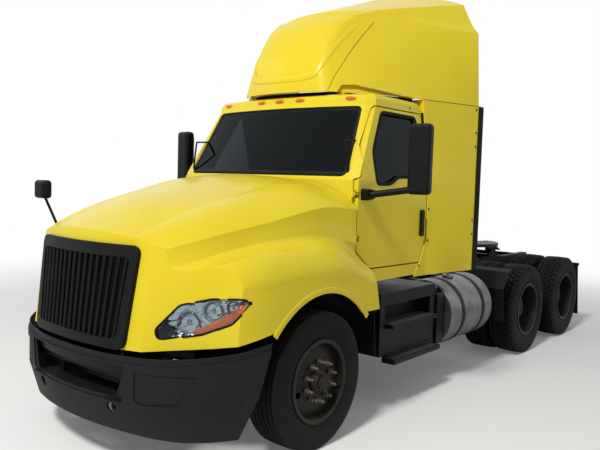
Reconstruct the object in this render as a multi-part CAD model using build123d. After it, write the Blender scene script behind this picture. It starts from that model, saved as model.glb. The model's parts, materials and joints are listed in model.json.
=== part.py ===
"""Three-axle day-cab tractor unit: ladder frame, tilting hood, hollow cab, roof fairing and twin-wheel tandem.

Millimetres. +X is the vehicle's left, +Y runs to the rear, +Z is up. The drawing is made with Y = 0 at the front
axle and moved on export, so that the origin is on the floor under the middle of the whole vehicle.
"""
import os
from math import cos, pi, radians, sin, tan

from build123d import *

os.makedirs("parts", exist_ok=True)

# ---------------------------------------------------------------- driving dimensions
WHEELBASE_1 = 3955.0          # front axle to first drive axle
TANDEM = 1320.0               # first to second drive axle
STEER_TYRE_R = 507.0
DRIVE_TYRE_R = 518.0
TYRE_W = 286.0
RIM_R = 292.0                 # bead seat of a 22.5 inch rim
STEER_X = 1040.0              # middle of a steer tyre
DUAL_OUT_X = 1065.0           # middle of an outer drive tyre
DUAL_SPACING = 343.0
LUG_PCD = 285.75
LUG_COUNT = 10
KINGPIN_X = 880.0             # steering axis
GAP = 0.3                     # seat clearance between fixed pieces
STUB_R = 36.0                 # front stub axle
AXLE_TUBE_R = 62.0            # drive axle tube, runs inside the hub
PIN_R = 20.0                  # steering kingpin

RAIL_OUT_X = 430.0
RAIL_W = 88.0
RAIL_H = 270.0
RAIL_T = 9.0
RAIL_TOP = 1000.0
RAIL_FRONT = -1060.0
RAIL_REAR = 5880.0

BUMPER_FRONT = -1300.0
BUMPER_BOTTOM = 262.0
BUMPER_T = 18.0
SEAM_X = 585.0                # joint of the bumper's middle and corner pieces

CAB_BACK = 1760.0
CAB_FLOOR = 1130.0
CAB_SKIN = 55.0               # whole thickness of a cab wall
BELT_Z = 1965.0
ROOF_EDGE_Z = 2600.0
ROOF_TOP_Z = 2700.0
CAB_HALF_W = 1030.0
DOOR_HINGE_X = 1012.0
DOOR_HINGE_Y = 620.0
DOOR_PIN_R = 6.0
DOOR_T = 50.0

EXT_FRONT = 1724.0            # side extender panels
EXT_REAR = 2440.0
EXT_REAR_X = 1165.0
EXT_BOTTOM = 1110.0
EXT_T = 10.0
RUBBER_REAR = 2540.0

FAIRING_BASE = 2726.0         # lower edge, on its seal
EXT_TOP = FAIRING_BASE - GAP
FAIRING_T = 12.0
FAIRING_ROUND = 200.0         # where the nose meets the flanks
RECESS_DEEP = 12.0            # the raised rim round the nose panel

HOOD_T = 12.0
HOOD_REAR = 588.0             # rear edge beside the doors
HOOD_PIVOT_Y = -1160.0        # the hood tilts forward about this line
HOOD_PIVOT_Z = 868.0
HOOD_PIN_R = 12.0
ARCH_R = 645.0
ARCH_Z = 505.0

TANK_R = 330.0
TANK_X = 820.0
TANK_Z = 668.0
TANK_FRONT = 2125.0
TANK_REAR = 3040.0

FLAP_REAR = 5950.0            # lowest edge of the rear mud flaps, the rearmost point
MID_Y = (BUMPER_FRONT + FLAP_REAR) / 2

AXLES = (WHEELBASE_1, WHEELBASE_1 + TANDEM)
FIFTH_Y = WHEELBASE_1 + TANDEM / 2 + 60.0
FIFTH_TOP = 1190.0


# ---------------------------------------------------------------- helpers
def put(name, *shapes):
    """Writes one node: its solids, moved so that the origin is under the middle of the vehicle."""
    solids = [s.moved(Location((0, -MID_Y, 0))) for shape in shapes for s in shape.solids()]
    export_step(Compound(children=solids), f"parts/{name}.step")


def block(x0, x1, y0, y1, z0, z1):
    return Pos((x0 + x1) / 2, (y0 + y1) / 2, (z0 + z1) / 2) * Box(x1 - x0, y1 - y0, z1 - z0)


def side_prism(points, x0, x1, radius=0.0):
    """A (y, z) outline carried from x0 to x1."""
    face = Plane.YZ.offset(x0) * make_face(Polyline(*points, close=True))
    if radius:
        face = fillet(face.vertices(), radius)
    return extrude(face, x1 - x0)


def plan_prism(points, z0, z1, radius=0.0):
    """An (x, y) outline carried from z0 to z1."""
    face = Plane.XY.offset(z0) * make_face(Polyline(*points, close=True))
    if radius:
        face = fillet(face.vertices(), radius)
    return extrude(face, z1 - z0)


def front_prism(points, y0, y1, radius=0.0):
    """An (x, z) outline carried from y0 to y1."""
    plane = Plane(origin=(0, y0, 0), x_dir=(1, 0, 0), z_dir=(0, -1, 0))
    face = plane * make_face(Polyline(*points, close=True))
    if radius:
        face = fillet(face.vertices(), radius)
    return extrude(face, y0 - y1)


def rod(start, end, radius):
    """A round bar between two points."""
    a, b = Vector(*start), Vector(*end)
    return Plane(origin=a, z_dir=b - a) * Cylinder(radius, (b - a).length, align=(Align.CENTER, Align.CENTER, Align.MIN))


def turned(profile, x, y, z):
    """A closed (x, r) outline turned about an axis along X through (y, z); x is added to the outline's own x."""
    face = make_face(Polyline(*[(px, pr) for px, pr in profile], close=True))
    return Pos(x, y, z) * revolve(face, Axis.X)


def mirrored(shape):
    return mirror(shape, about=Plane.YZ)


def pair(*shapes):
    """The shapes and their mirror images, for one node."""
    return [*shapes, *[mirrored(shape) for shape in shapes]]


def on_both_sides(name, *shapes):
    """Writes NAME_left and NAME_right."""
    put(f"{name}_left", *shapes)
    put(f"{name}_right", *[mirrored(shape) for shape in shapes])


# ---------------------------------------------------------------- wheels and tyres
def tyre_outline(radius):
    """(x, r) outline of a tyre about its own middle: bead, sidewall, shoulder and tread."""
    half = TYRE_W / 2
    outer = [(-0.78 * half, RIM_R), (-0.95 * half, RIM_R + 45), (-half, RIM_R + 105), (-0.93 * half, radius - 30),
             (-0.80 * half, radius - 6), (-0.4 * half, radius)]
    return outer + [(-px, pr) for px, pr in reversed(outer)]


def rim_outline(dish, disc_x):
    """(x, r) outline of a disc wheel. dish is +1 with the hollow facing out; disc_x is the disc's own place."""
    flange, lip = TYRE_W / 2 - 20, RIM_R - 1.0
    barrel_in = RIM_R - 14
    return [(-flange, lip), (flange, lip), (flange + 8, lip + 18), (flange + 16, lip + 16), (flange + 10, barrel_in),
            (disc_x + 8, barrel_in), (disc_x + 8 - dish * 30, 150), (disc_x + 8 - dish * 30, 90),
            (disc_x - 6 - dish * 30, 90), (disc_x - 6 - dish * 30, 150), (disc_x - 6, barrel_in),
            (-flange - 10, barrel_in), (-flange - 16, lip + 16), (-flange - 8, lip + 18)]


def lugs(x0, x1, y, z, radius=16.0):
    """The ring of wheel nuts, from x0 to x1."""
    ring = [rod((x0, y + LUG_PCD / 2 * cos(a), z + LUG_PCD / 2 * sin(a)), (x1, y + LUG_PCD / 2 * cos(a), z + LUG_PCD / 2 * sin(a)), radius)
            for a in (2 * pi * (i + 0.5) / LUG_COUNT for i in range(LUG_COUNT))]
    return ring


def hand_holes(x, y, z, radius=24.0, pitch_r=205.0, count=2, start=200.0):
    return [rod((x - 150, y + pitch_r * cos(radians(start + 360 * i / count)), z + pitch_r * sin(radians(start + 360 * i / count))),
                (x + 150, y + pitch_r * cos(radians(start + 360 * i / count)), z + pitch_r * sin(radians(start + 360 * i / count))), radius)
            for i in range(count)]


DISC_STEER = 62.0             # disc of a steer wheel, from the tyre's middle
HUB_SEAT = 12.0


def steer_wheel():
    """Rim, hub and nuts of the left steer wheel as one solid, and its tyre."""
    y, z = 0.0, STEER_TYRE_R
    rim = turned(rim_outline(-1, DISC_STEER), STEER_X, y, z)
    rim = rim - hand_holes(STEER_X + DISC_STEER, y, z)
    face_x = STEER_X + DISC_STEER + 38
    bore = STUB_R + GAP
    hub = [(-70, bore), (face_x - STEER_X + 52, bore), (face_x - STEER_X + 52, 62),
           (face_x - STEER_X + 20, 84), (face_x - STEER_X - 14, 92), (face_x - STEER_X - 60, 95), (-70, 110)]
    rim = rim + [turned(hub, STEER_X, y, z), rod((face_x + 40, y, z), (face_x + 66, y, z), 48)] + lugs(face_x - 20, face_x + 26, y, z)
    drum = turned([(-68, 90), (24, 90), (24, 205), (14, 212), (-68, 212)], STEER_X, y, z)
    return rim + drum, turned(tyre_outline(STEER_TYRE_R), STEER_X, y, z)


def drive_wheel(y):
    """Both rims, hub and nuts of a left twin wheel, and its two tyres."""
    z = DRIVE_TYRE_R
    mid = DUAL_OUT_X - DUAL_SPACING / 2
    inner_x = DUAL_OUT_X - DUAL_SPACING
    seat = DUAL_SPACING / 2 - 8
    out_rim = turned(rim_outline(1, 30 - seat + 8), DUAL_OUT_X, y, z)
    in_rim = turned([(-px, pr) for px, pr in rim_outline(1, 30 - seat + 8)], inner_x, y, z)
    bore = AXLE_TUBE_R + GAP
    hub = turned([(-60, bore), (196, bore), (196, 88), (120, 96), (90, 108), (30, 112), (-60, 112)], mid, y, z)
    flange = rod((mid + 190, y, z), (mid + 208, y, z), 104)
    web = turned([(-26, 80), (26, 80), (26, 150), (-26, 150)], mid, y, z)
    drum = turned([(-170, 96), (-30, 96), (-30, 196), (-44, 208), (-170, 208)], mid - 20, y, z)
    wheel = out_rim + ([in_rim, hub, flange, web, drum] + lugs(mid, mid + 66, y, z))
    tyres = [turned(tyre_outline(DRIVE_TYRE_R), x, y, z) for x in (DUAL_OUT_X, inner_x)]
    return wheel, tyres


rim, tyre = steer_wheel()
on_both_sides("steer_rim", rim)
on_both_sides("steer_tyre", tyre)
twin, tyres = drive_wheel(0.0)
for number, axle_y in enumerate(AXLES, 1):
    on_both_sides(f"drive_rims_{number}", Pos(0, axle_y, 0) * twin)
    on_both_sides(f"drive_tyres_{number}", Pos(0, axle_y, 0) * Compound(children=tyres))


# ---------------------------------------------------------------- frame
def rail(x_out):
    """One C-section side rail, open to the inside, for the left."""
    outer = block(x_out - RAIL_W, x_out, RAIL_FRONT, RAIL_REAR, RAIL_TOP - RAIL_H, RAIL_TOP)
    return outer - block(x_out - RAIL_W, x_out - RAIL_T, RAIL_FRONT, RAIL_REAR, RAIL_TOP - RAIL_H + RAIL_T, RAIL_TOP - RAIL_T)


put("frame_rails", *pair(rail(RAIL_OUT_X)))

CROSS_Y = (RAIL_FRONT + 48, 1640.0, 2300.0, 2900.0, AXLES[0] + 60, WHEELBASE_1 + TANDEM / 2, AXLES[1] + 60, RAIL_REAR - 40)
inside_x = RAIL_OUT_X - RAIL_T - GAP
crossmembers = []
for cross_y in CROSS_Y:
    web = block(-inside_x, inside_x, cross_y - 5, cross_y + 5, RAIL_TOP - RAIL_H + 24, RAIL_TOP - 24)
    shelf = block(-inside_x, inside_x, cross_y - 45, cross_y + 45, RAIL_TOP - 34, RAIL_TOP - 24)
    crossmembers.append(web + shelf)

# ---------------------------------------------------------------- front axle and steering
AXLE_Z = STEER_TYRE_R
beam_outline = [(-KINGPIN_X + 34, AXLE_Z - 20), (-KINGPIN_X + 130, AXLE_Z - 62), (-520, AXLE_Z - 120), (520, AXLE_Z - 120),
                (KINGPIN_X - 130, AXLE_Z - 62), (KINGPIN_X - 34, AXLE_Z - 20), (KINGPIN_X - 34, AXLE_Z + 48),
                (KINGPIN_X - 130, AXLE_Z + 28), (520, AXLE_Z - 22), (-520, AXLE_Z - 22), (-KINGPIN_X + 130, AXLE_Z + 28),
                (-KINGPIN_X + 34, AXLE_Z + 48)]
beam = front_prism(beam_outline, -52, 52)
for side in (-1, 1):
    beam += rod((side * KINGPIN_X, 0, AXLE_Z - 38), (side * KINGPIN_X, 0, AXLE_Z + 62), 46)
    beam -= rod((side * KINGPIN_X, 0, AXLE_Z - 80), (side * KINGPIN_X, 0, AXLE_Z + 90), PIN_R + GAP)
put("front_axle_beam", beam)

KNUCKLE_GAP = 6.0
ARM_LENGTH = 190.0            # kingpin to tie rod
STUD_R = 10.0


def knuckle():
    """Left knuckle: fork over the beam's end, stub axle and steering arm."""
    top, low = AXLE_Z + 62 + KNUCKLE_GAP, AXLE_Z - 38 - KNUCKLE_GAP
    yoke = block(KINGPIN_X + 52, KINGPIN_X + 84, -50, 50, low - 34, top + 34)
    ears = block(KINGPIN_X - 40, KINGPIN_X + 60, -44, 44, top, top + 34) + block(KINGPIN_X - 40, KINGPIN_X + 60, -44, 44, low - 34, low)
    stub = rod((KINGPIN_X + 80, 0, AXLE_Z), (STEER_X + 120, 0, AXLE_Z), STUB_R)
    pin = rod((KINGPIN_X, 0, low - 20), (KINGPIN_X, 0, top + 20), PIN_R)
    arm = block(KINGPIN_X - 24, KINGPIN_X + 24, 30, ARM_LENGTH + 26, low - 34, low - 8)
    arm -= rod((KINGPIN_X, ARM_LENGTH, low - 60), (KINGPIN_X, ARM_LENGTH, low), STUD_R + GAP)
    return yoke + [ears, stub, pin, arm]


on_both_sides("steer_knuckle", knuckle())
TIE_Z = AXLE_Z - 38 - KNUCKLE_GAP - 34 - 30
tie = rod((-KINGPIN_X - 24, ARM_LENGTH, TIE_Z), (KINGPIN_X + 24, ARM_LENGTH, TIE_Z), 20)
studs = [rod((side * KINGPIN_X, ARM_LENGTH, TIE_Z), (side * KINGPIN_X, ARM_LENGTH, TIE_Z + 56), STUD_R) for side in (-1, 1)]
put("tie_rod", tie + studs)

# leaf springs stand on the beam and hang from brackets on the rails
SPRING_X = 385.0
springs = []
for side in (-1, 1):
    x0, x1 = side * SPRING_X - 45, side * SPRING_X + 45
    leaves = side_prism([(-820, 700), (-400, 545), (0, AXLE_Z - 22 + GAP), (400, 545), (820, 700), (820, 712), (400, 575), (0, AXLE_Z + 40), (-400, 575), (-820, 712)], x0, x1)
    hangers = block(x0, x1, -850, -790, 712, RAIL_TOP - RAIL_H - GAP) + block(x0, x1, 790, 850, 712, RAIL_TOP - RAIL_H - GAP)
    pad = block(x0, x1, -70, 70, AXLE_Z - 22 + GAP, AXLE_Z + 90)
    springs.append(leaves + hangers + pad)
put("front_springs", *springs)

# ---------------------------------------------------------------- drive axles, suspension and shafts
AXLE_END = DUAL_OUT_X - DUAL_SPACING / 2 + 180
NOSE = 330.0                  # centre of an axle to the front face of its drive flange
SHAFT_RISE = 30.0
driveline = []
for number, axle_y in enumerate(AXLES, 1):
    z = DRIVE_TYRE_R
    tube = rod((-AXLE_END, axle_y, z), (AXLE_END, axle_y, z), AXLE_TUBE_R)
    bowl = turned([(-150, 1), (-150, 90), (-95, 175), (-35, 205), (35, 205), (95, 175), (150, 90), (150, 1)], 0, axle_y, z)
    nose = rod((0, axle_y - NOSE, z + SHAFT_RISE), (0, axle_y + NOSE - 80, z + SHAFT_RISE), 90)
    driveline.append(tube + [bowl, nose])

BAG_R = 125.0
BAG_X = 385.0
BAG_DY = 385.0
RAIL_LOW = RAIL_TOP - RAIL_H
arms, bags = [], []
for axle_y in AXLES:
    for side in (-1, 1):
        x, seat = side * BAG_X, DRIVE_TYRE_R + AXLE_TUBE_R + GAP
        outline = [(-570, 620), (-500, 690), (-75, 645), (75, 645), (260, 560), (470, 560), (470, 522), (240, 522), (75, seat), (-75, seat), (-500, 640)]
        arm = side_prism([(axle_y + dy, pz) for dy, pz in outline], x - 38, x + 38)
        hanger = block(x - 30, x + 30, axle_y - 585, axle_y - 505, 640, RAIL_LOW - GAP)
        arms.append(arm + hanger)
        bags.append(rod((x, axle_y + BAG_DY, 560 + GAP), (x, axle_y + BAG_DY, RAIL_LOW - GAP), BAG_R))
put("suspension_arms", *arms)
put("air_springs", *bags)


def shaft(y0, z0, y1, z1, radius):
    """A drive shaft with its level joints at both ends."""
    return rod((0, y0 + 40, z0), (0, y1 - 40, z1), radius) + [rod((0, y0, z0), (0, y0 + 90, z0), radius + 12), rod((0, y1 - 90, z1), (0, y1, z1), radius + 12)]


GEARBOX_REAR = 1540.0
put("drive_axles", *driveline, shaft(GEARBOX_REAR + GAP, 690, AXLES[0] - NOSE - GAP, DRIVE_TYRE_R + SHAFT_RISE, 45),
    shaft(AXLES[0] + NOSE - 80 + GAP, DRIVE_TYRE_R + SHAFT_RISE, AXLES[1] - NOSE - GAP, DRIVE_TYRE_R + SHAFT_RISE, 42))

# ---------------------------------------------------------------- power unit, plain blocks at their real place
ENGINE_REAR = 380.0
engine = block(-325, 325, -720, ENGINE_REAR, 830, 1540) + block(-190, 190, -640, 300, 600, 840)
for side in (-1, 1):
    engine += block(side * 365 - 45, side * 365 + 45, -420, -320, RAIL_TOP + GAP, RAIL_TOP + 40)
    engine += block(side * 365 - 45, side * 365 + 45, 240, 340, RAIL_TOP + GAP, RAIL_TOP + 40)
put("power_unit", engine, side_prism([(ENGINE_REAR + GAP, 560), (ENGINE_REAR + GAP, 1010), (640, 990), (1300, 830), (GEARBOX_REAR, 780), (GEARBOX_REAR, 600), (760, 560)], -230, 230))
put("radiator", block(-470, 470, -958, -850, RAIL_TOP + GAP, 1440) + block(-325, 325, -958, -850, 790, RAIL_TOP + 10))

# ---------------------------------------------------------------- bumper
BUMPER_PLAN = ((0, BUMPER_FRONT), (600, -1222), (985, -1010), (1150, -760), (1182, -500))   # (x, y) down the left side


def bumper_curve(inset, end_y):
    """Closed plan outline behind the bumper's face, set in by a wall thickness."""
    (_, y0), (x1, y1), (x2, y2), (x3, y3), (x4, _) = BUMPER_PLAN
    front = ThreePointArc((-x1 + inset * 0.3, y1 + inset), (0, y0 + inset), (x1 - inset * 0.3, y1 + inset))
    corner = ThreePointArc((x1 - inset * 0.3, y1 + inset), (x2 - inset * 0.75, y2 + inset * 0.75), (x3 - inset, y3 + inset * 0.2))
    side = Line((x3 - inset, y3 + inset * 0.2), (x4 - inset, end_y))
    back = Line((x4 - inset, end_y), (-x4 + inset, end_y))
    side_r = Line((-x4 + inset, end_y), (-x3 + inset, y3 + inset * 0.2))
    corner_r = ThreePointArc((-x3 + inset, y3 + inset * 0.2), (-x2 + inset * 0.75, y2 + inset * 0.75), (-x1 + inset * 0.3, y1 + inset))
    return make_face(Wire([front, corner, side, back, side_r, corner_r]))


BUMPER_ROWS = ((BUMPER_BOTTOM, 75), (540, 0), (880, 0))      # (z, how far the face is set back)
BUMPER_TOP = ((-1400, 800), (-1250, 796), (-560, 872), (-300, 880))
LIP = 45.0                    # height of the band along the top edge
STEP = 9.0                    # depth of the band, the corner reliefs and the frame of the middle opening


def bumper_form(inset, end_y=-480.0, reach=0.0):
    """The bumper's outer form, upright above and leaning back below, set in by a wall thickness."""
    (low, back), (waist, _), (high, _) = BUMPER_ROWS
    foot = Plane.XY.offset(low - reach) * bumper_curve(back + inset, end_y)
    middle = Plane.XY.offset(waist) * bumper_curve(inset, end_y)
    top = Plane.XY.offset(high + reach) * bumper_curve(inset, end_y)
    return loft([foot, middle], ruled=True) + loft([middle, top], ruled=True)


bumper_step = bumper_form(0) - bumper_form(STEP, -470, 1)
bumper = bumper_form(0) - bumper_form(BUMPER_T, -470, 1)
bumper -= side_prism([*BUMPER_TOP, (-300, 1000), (-1400, 1000)], -1400, 1400)
bumper -= bumper_step & side_prism([*[(py, pz - LIP) for py, pz in BUMPER_TOP], (-300, 1000), (-1400, 1000)], -1400, 1400)
RELIEF = [(618, 712), (985, 712), (960, 650), (905, 545), (860, 512), (650, 500), (618, 520)]
for side in (-1, 1):
    bumper -= bumper_step & front_prism([(side * px, pz) for px, pz in RELIEF], -1400, -900)
bumper -= bumper_step & front_prism([(-515, 492), (515, 492), (575, 742), (-575, 742)], -1400, -1000, 30)
bumper -= side_prism([(-510, 900), (-727, 262), (-750, 100), (-300, 100), (-300, 900)], -1400, 1400)
bumper -= side_prism([(-1400, 330), (-1250, 285), (-900, 250), (-900, 100), (-1400, 100)], -1400, 1400)
for side in (-1, 1):
    bumper -= rod((side * 415, -1400, 440), (side * 415, -1100, 440), 42)
middle = block(-SEAM_X, SEAM_X, -1400, -1000, 200, 900)
bumper_mid = bumper & middle
bumper_mid -= front_prism([(-470, 520), (470, 520), (545, 735), (-545, 735)], -1400, -1100, 28)
put("bumper", bumper_mid, *pair(bumper & block(SEAM_X + GAP, 1400, -1400, -400, 200, 900)))

# the carrier behind the bumper: two tow sockets, cross bar and the arms that the hood turns on
TOW_X, TOW_Z, TOW_R = 415.0, 440.0, 20.0
TOW_FRONT, TOW_BOTTOM, TOW_REAR = -1210.0, -1130.0, -1120.0 - GAP
behind_bumper = bumper_form(BUMPER_T + GAP)
carrier = block(-900, 900, -1150, -1110, 600, 700) & behind_bumper
for side in (-1, 1):
    x = side * 365.0
    outline = [(RAIL_FRONT - GAP, 420), (-1120, 420), (-1120, 820), (-1188, 846), (-1188, 890), (-1140, 905), (RAIL_FRONT - GAP, 960)]
    carrier += side_prism(outline, x - 20, x + 20)
    carrier += rod((x, HOOD_PIVOT_Y, HOOD_PIVOT_Z), (x + side * 58, HOOD_PIVOT_Y, HOOD_PIVOT_Z), HOOD_PIN_R)
    carrier += block(side * 300 - 30, side * 300 + 30, -1300, -1110, 440, 500) & behind_bumper
    carrier += block(side * 405 - 60, side * 405 + 60, TOW_REAR + GAP, RAIL_FRONT - GAP, 380, 500)
put("bumper_carrier", carrier)
socket = rod((TOW_X, TOW_FRONT, TOW_Z), (TOW_X, TOW_REAR, TOW_Z), 38)
socket -= rod((TOW_X, TOW_FRONT - 1, TOW_Z), (TOW_X, TOW_BOTTOM, TOW_Z), TOW_R)
put("tow_sockets", *pair(socket))

# ---------------------------------------------------------------- hood
# Stations down the hood. y; zc crown height; xd, zd edge of the raised middle; xk, zk crease; xv, zv foot of the hollow
# under the crease; xr, zr top of the fender; xo, zo its outer face.
HOOD_STATIONS = (
    # y,    zc,   xd,   zd,   xk,   zk,   xv,   zv,   xr,   zr,   xo,   zo
    (720, 2030, 620, 1990, 1032, 1775, 1034, 1470, 1090, 1330, 1206, 1130),
    (350, 1985, 600, 1950, 1020, 1752, 1026, 1520, 1110, 1428, 1206, 1200),
    (-50, 1925, 570, 1885, 985, 1712, 1000, 1545, 1104, 1480, 1204, 1250),
    (-450, 1830, 540, 1785, 915, 1628, 940, 1510, 1078, 1470, 1196, 1250),
    (-800, 1735, 510, 1680, 830, 1556, 860, 1440, 1020, 1412, 1130, 1220),
    (-1010, 1650, 490, 1600, 740, 1500, 768, 1380, 880, 1340, 985, 1190),
    (-1150, 1596, 470, 1548, 640, 1452, 660, 1340, 722, 1290, 800, 1150),
    (-1290, 1536, 455, 1484, 565, 1390, 580, 1300, 612, 1240, 645, 1120),
)
HOOD_LOW = 700.0


def hood_section(row, inset):
    """One hood section: crown, crease, hollow, fender and sides down to the lower edge, the same on both sides."""
    y, zc, xd, zd, xk, zk, xv, zv, xr, zr, xo, zo = row
    t = inset
    dome, crease, hollow = (xd, zd - t), (xk - t, zk - t * 0.6), (xv - t, zv - t * 0.4)
    ridge, outer, low = (xr - t * 0.4, zr - t), (xo - t, zo), (xo - t, HOOD_LOW)
    bends = (
        (dome, ((xd + crease[0]) / 2 + 0.06 * (xk - xd), (dome[1] + crease[1]) / 2 + 0.10 * (xk - xd)), crease),
        (crease, ((crease[0] + hollow[0]) / 2 - 6, (crease[1] + hollow[1]) / 2), hollow),
        (hollow, ((hollow[0] + ridge[0]) / 2 - 0.12 * (zv - zr + 40), (hollow[1] + ridge[1]) / 2 - 0.12 * (xr - xv)), ridge),
        (ridge, ((ridge[0] + outer[0]) / 2 + 0.16 * (zr - zo), (ridge[1] + zo) / 2 + 0.16 * (xo - xr)), outer),
    )
    left = [ThreePointArc(*bend) for bend in bends] + [Line(outer, low)]
    right = [ThreePointArc(*[(-px, pz) for px, pz in reversed(bend)]) for bend in reversed(bends)]
    crown = ThreePointArc((-xd, zd - t), (0, zc - t), dome)
    wire = Wire([crown, *left, Line(low, (-low[0], HOOD_LOW)), Line((-low[0], HOOD_LOW), (-outer[0], zo)), *right])
    return Plane(origin=(0, y, 0), x_dir=(1, 0, 0), z_dir=(0, -1, 0)) * make_face(wire)


def hood_solid(inset):
    return loft([hood_section(row, inset) for row in HOOD_STATIONS])


HOOD_EDGE = [(-1400, 815), (-1215, 832), (-900, 875), (-480, 955), (300, 955), (720, 948), (900, 600), (-1400, 600)]
FRONT_LOW, FRONT_HIGH = 700.0, 2200.0


def behind_front(offset):
    """Everything behind the hood's leaning, bowed front; offset moves the front back."""
    faces = []
    for z, y_mid, y_side in ((FRONT_LOW, -1272, -1196), (FRONT_HIGH, -1131, -1007)):
        arc = ThreePointArc((-640, y_side + offset), (0, y_mid + offset), (640, y_side + offset))
        wings = [Line((640, y_side + offset), (1400, -600 + offset)), Line((1400, -600 + offset), (1400, 900))]
        back = [Line((1400, 900), (-1400, 900)), Line((-1400, 900), (-1400, -600 + offset)), Line((-1400, -600 + offset), (-640, y_side + offset))]
        faces.append(Plane.XY.offset(z) * make_face(Wire([arc, *wings, *back])))
    return loft(faces, ruled=True)


def hood_rear_cut():
    """Everything behind the hood's rear edge: bowed across the windscreen, straight at the doors, slanted at the fenders."""
    arc = ThreePointArc((-1030, HOOD_REAR), (0, 400), (1030, HOOD_REAR))
    rest = Polyline((1030, HOOD_REAR), (1400, HOOD_REAR), (1400, 1000), (-1400, 1000), (-1400, HOOD_REAR), (-1030, HOOD_REAR))
    top = extrude(Plane.XY.offset(1415) * make_face(Wire([arc, *rest.edges()])), 900)
    return top + side_prism([(HOOD_REAR, 1416), (705, 948), (705, 600), (1000, 600), (1000, 1416)], -1400, 1400)


outer, inner = hood_solid(0), hood_solid(HOOD_T)
hood = (outer & behind_front(0)) - (inner & behind_front(HOOD_T))
hood -= side_prism(HOOD_EDGE, -1300, 1300)
hood -= hood_rear_cut()
hood -= block(-1040, 1040, HOOD_REAR - 1, 900, 900, 1500)
for side in (-1, 1):
    hood -= rod((side * 700, 0, ARCH_Z), (side * 1300, 0, ARCH_Z), ARCH_R)

# grille: a leaning surround and its upright bars
GRILLE_TOP, GRILLE_BOTTOM = 1500.0, 832.0
GRILLE_OUT = [(-520, GRILLE_BOTTOM), (520, GRILLE_BOTTOM), (566, GRILLE_TOP), (-566, GRILLE_TOP)]
GRILLE_IN = [(-455, GRILLE_BOTTOM + 62), (455, GRILLE_BOTTOM + 62), (505, GRILLE_TOP - 78), (-505, GRILLE_TOP - 78)]
BAR_COUNT, BAR_R = 16, 13.0


def front_y(x, z):
    """Where the hood's front is at a place across it."""
    k = (z - FRONT_LOW) / (FRONT_HIGH - FRONT_LOW)
    return (-1272 + 141 * k) + (76 + 48 * k) * (x / 640) ** 2


opening = front_prism(GRILLE_IN, -1500, -900, 30)
slab = behind_front(-30) - behind_front(-GAP)
grille = (slab & front_prism(GRILLE_OUT, -1500, -900, 60)) - opening
bars = []
for i in range(BAR_COUNT):
    k = (i + 0.5) / BAR_COUNT * 2 - 1
    low_x, high_x = 455 * k, 505 * k
    low_z, high_z = GRILLE_BOTTOM + 50, GRILLE_TOP - 66
    bars.append(rod((low_x, front_y(low_x, low_z) - 15, low_z), (high_x, front_y(high_x, high_z) - 15, high_z), BAR_R))
grille = grille + bars
hood -= opening
hood_ears = []
for side in (-1, 1):
    ear = block(side * 405 - 10, side * 405 + 10, -1262, -1135, 845, 891) & behind_front(2)
    hood_ears.append(ear - rod((side * 380, HOOD_PIVOT_Y, HOOD_PIVOT_Z), (side * 430, HOOD_PIVOT_Y, HOOD_PIVOT_Z), HOOD_PIN_R + GAP))

# headlamps: lenses that continue the hood's surface
LAMP_OUTLINE = ((-291, 929), (-303, 982), (-151, 1140), (58, 1188), (254, 1192), (310, 1167), (187, 1033), (-3, 960), (-260, 923))
lamp_face = make_face(Polyline(*LAMP_OUTLINE, close=True))


def lamp_prism(side, grow):
    plane = Plane(origin=(side * 930, -920, 0), x_dir=(side * 0.776, 0.631, 0), z_dir=(0.631, -side * 0.776, 0))
    return extrude(plane * (offset(lamp_face, grow) if grow else lamp_face), 260, both=True)


lamp_shell = (outer & behind_front(0)) - (hood_solid(60) & behind_front(60))
hood = hood - [lamp_prism(1, 0), lamp_prism(-1, 0)] + hood_ears
put("hood", hood)
put("grille", grille)
put("headlamps", *[lamp_shell & lamp_prism(side, -GAP) for side in (-1, 1)])

# look-down mirror on the right fender, on its stem
fender_mirror = Pos(-1100, -860, 1815) * fillet(Box(150, 90, 150).edges(), 30)
fender_mirror += rod((-1040, -700, 1380), (-1095, -850, 1760), 11) - outer
put("fender_mirror", fender_mirror)


# ---------------------------------------------------------------- cab
# Plan of the cab at two heights: z; yc, xg, yg the bowed front and its ends; xs, ys where the side starts; xb, yb rear.
CAB_BELT = (BELT_Z, 442, 955, 578, 1030, 606, 1030, CAB_BACK)
CAB_TOP = (ROOF_EDGE_Z, 800, 868, 912, 932, 965, 936, CAB_BACK - 12)


def cab_plan(row, z, inset):
    _, yc, xg, yg, xs, ys, xb, yb = row
    t = inset
    front = ThreePointArc((-xg + t * 0.7, yg + t), (0, yc + t), (xg - t * 0.7, yg + t))
    points = [(xg - t * 0.7, yg + t), (xs - t, ys + t * 0.6), (xb - t, yb - t - 40), (xb - t - 40, yb - t)]
    back = Polyline(*points, *[(-px, py) for px, py in reversed(points)])
    return Plane.XY.offset(z) * make_face(Wire([front, *back.edges()]))


def cab_solid(inset, floor_z, top_z):
    """The cab's outer form, set in by a wall thickness: straight to the belt, leaning in above it."""
    low = loft([cab_plan(CAB_BELT, floor_z, inset), cab_plan(CAB_BELT, BELT_Z, inset)], ruled=True)
    mid = loft([cab_plan(CAB_BELT, BELT_Z, inset), cab_plan(CAB_TOP, ROOF_EDGE_Z, inset)], ruled=True)
    if top_z <= ROOF_EDGE_Z:
        return low + mid
    return low + [mid, roof_solid(inset)]


ROOF_ROWS = ((ROOF_EDGE_Z, 0), (2652, 7), (2684, 28), (ROOF_TOP_Z, 72))     # (z, inset) round the roof's edge


def roof_solid(inset):
    """The roof over the cab's upper edge, rounded all round."""
    plans = [cab_plan(CAB_TOP, z - (inset if z == ROOF_TOP_Z else 0), inset + edge) for z, edge in ROOF_ROWS]
    return loft(plans, ruled=True)


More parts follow.
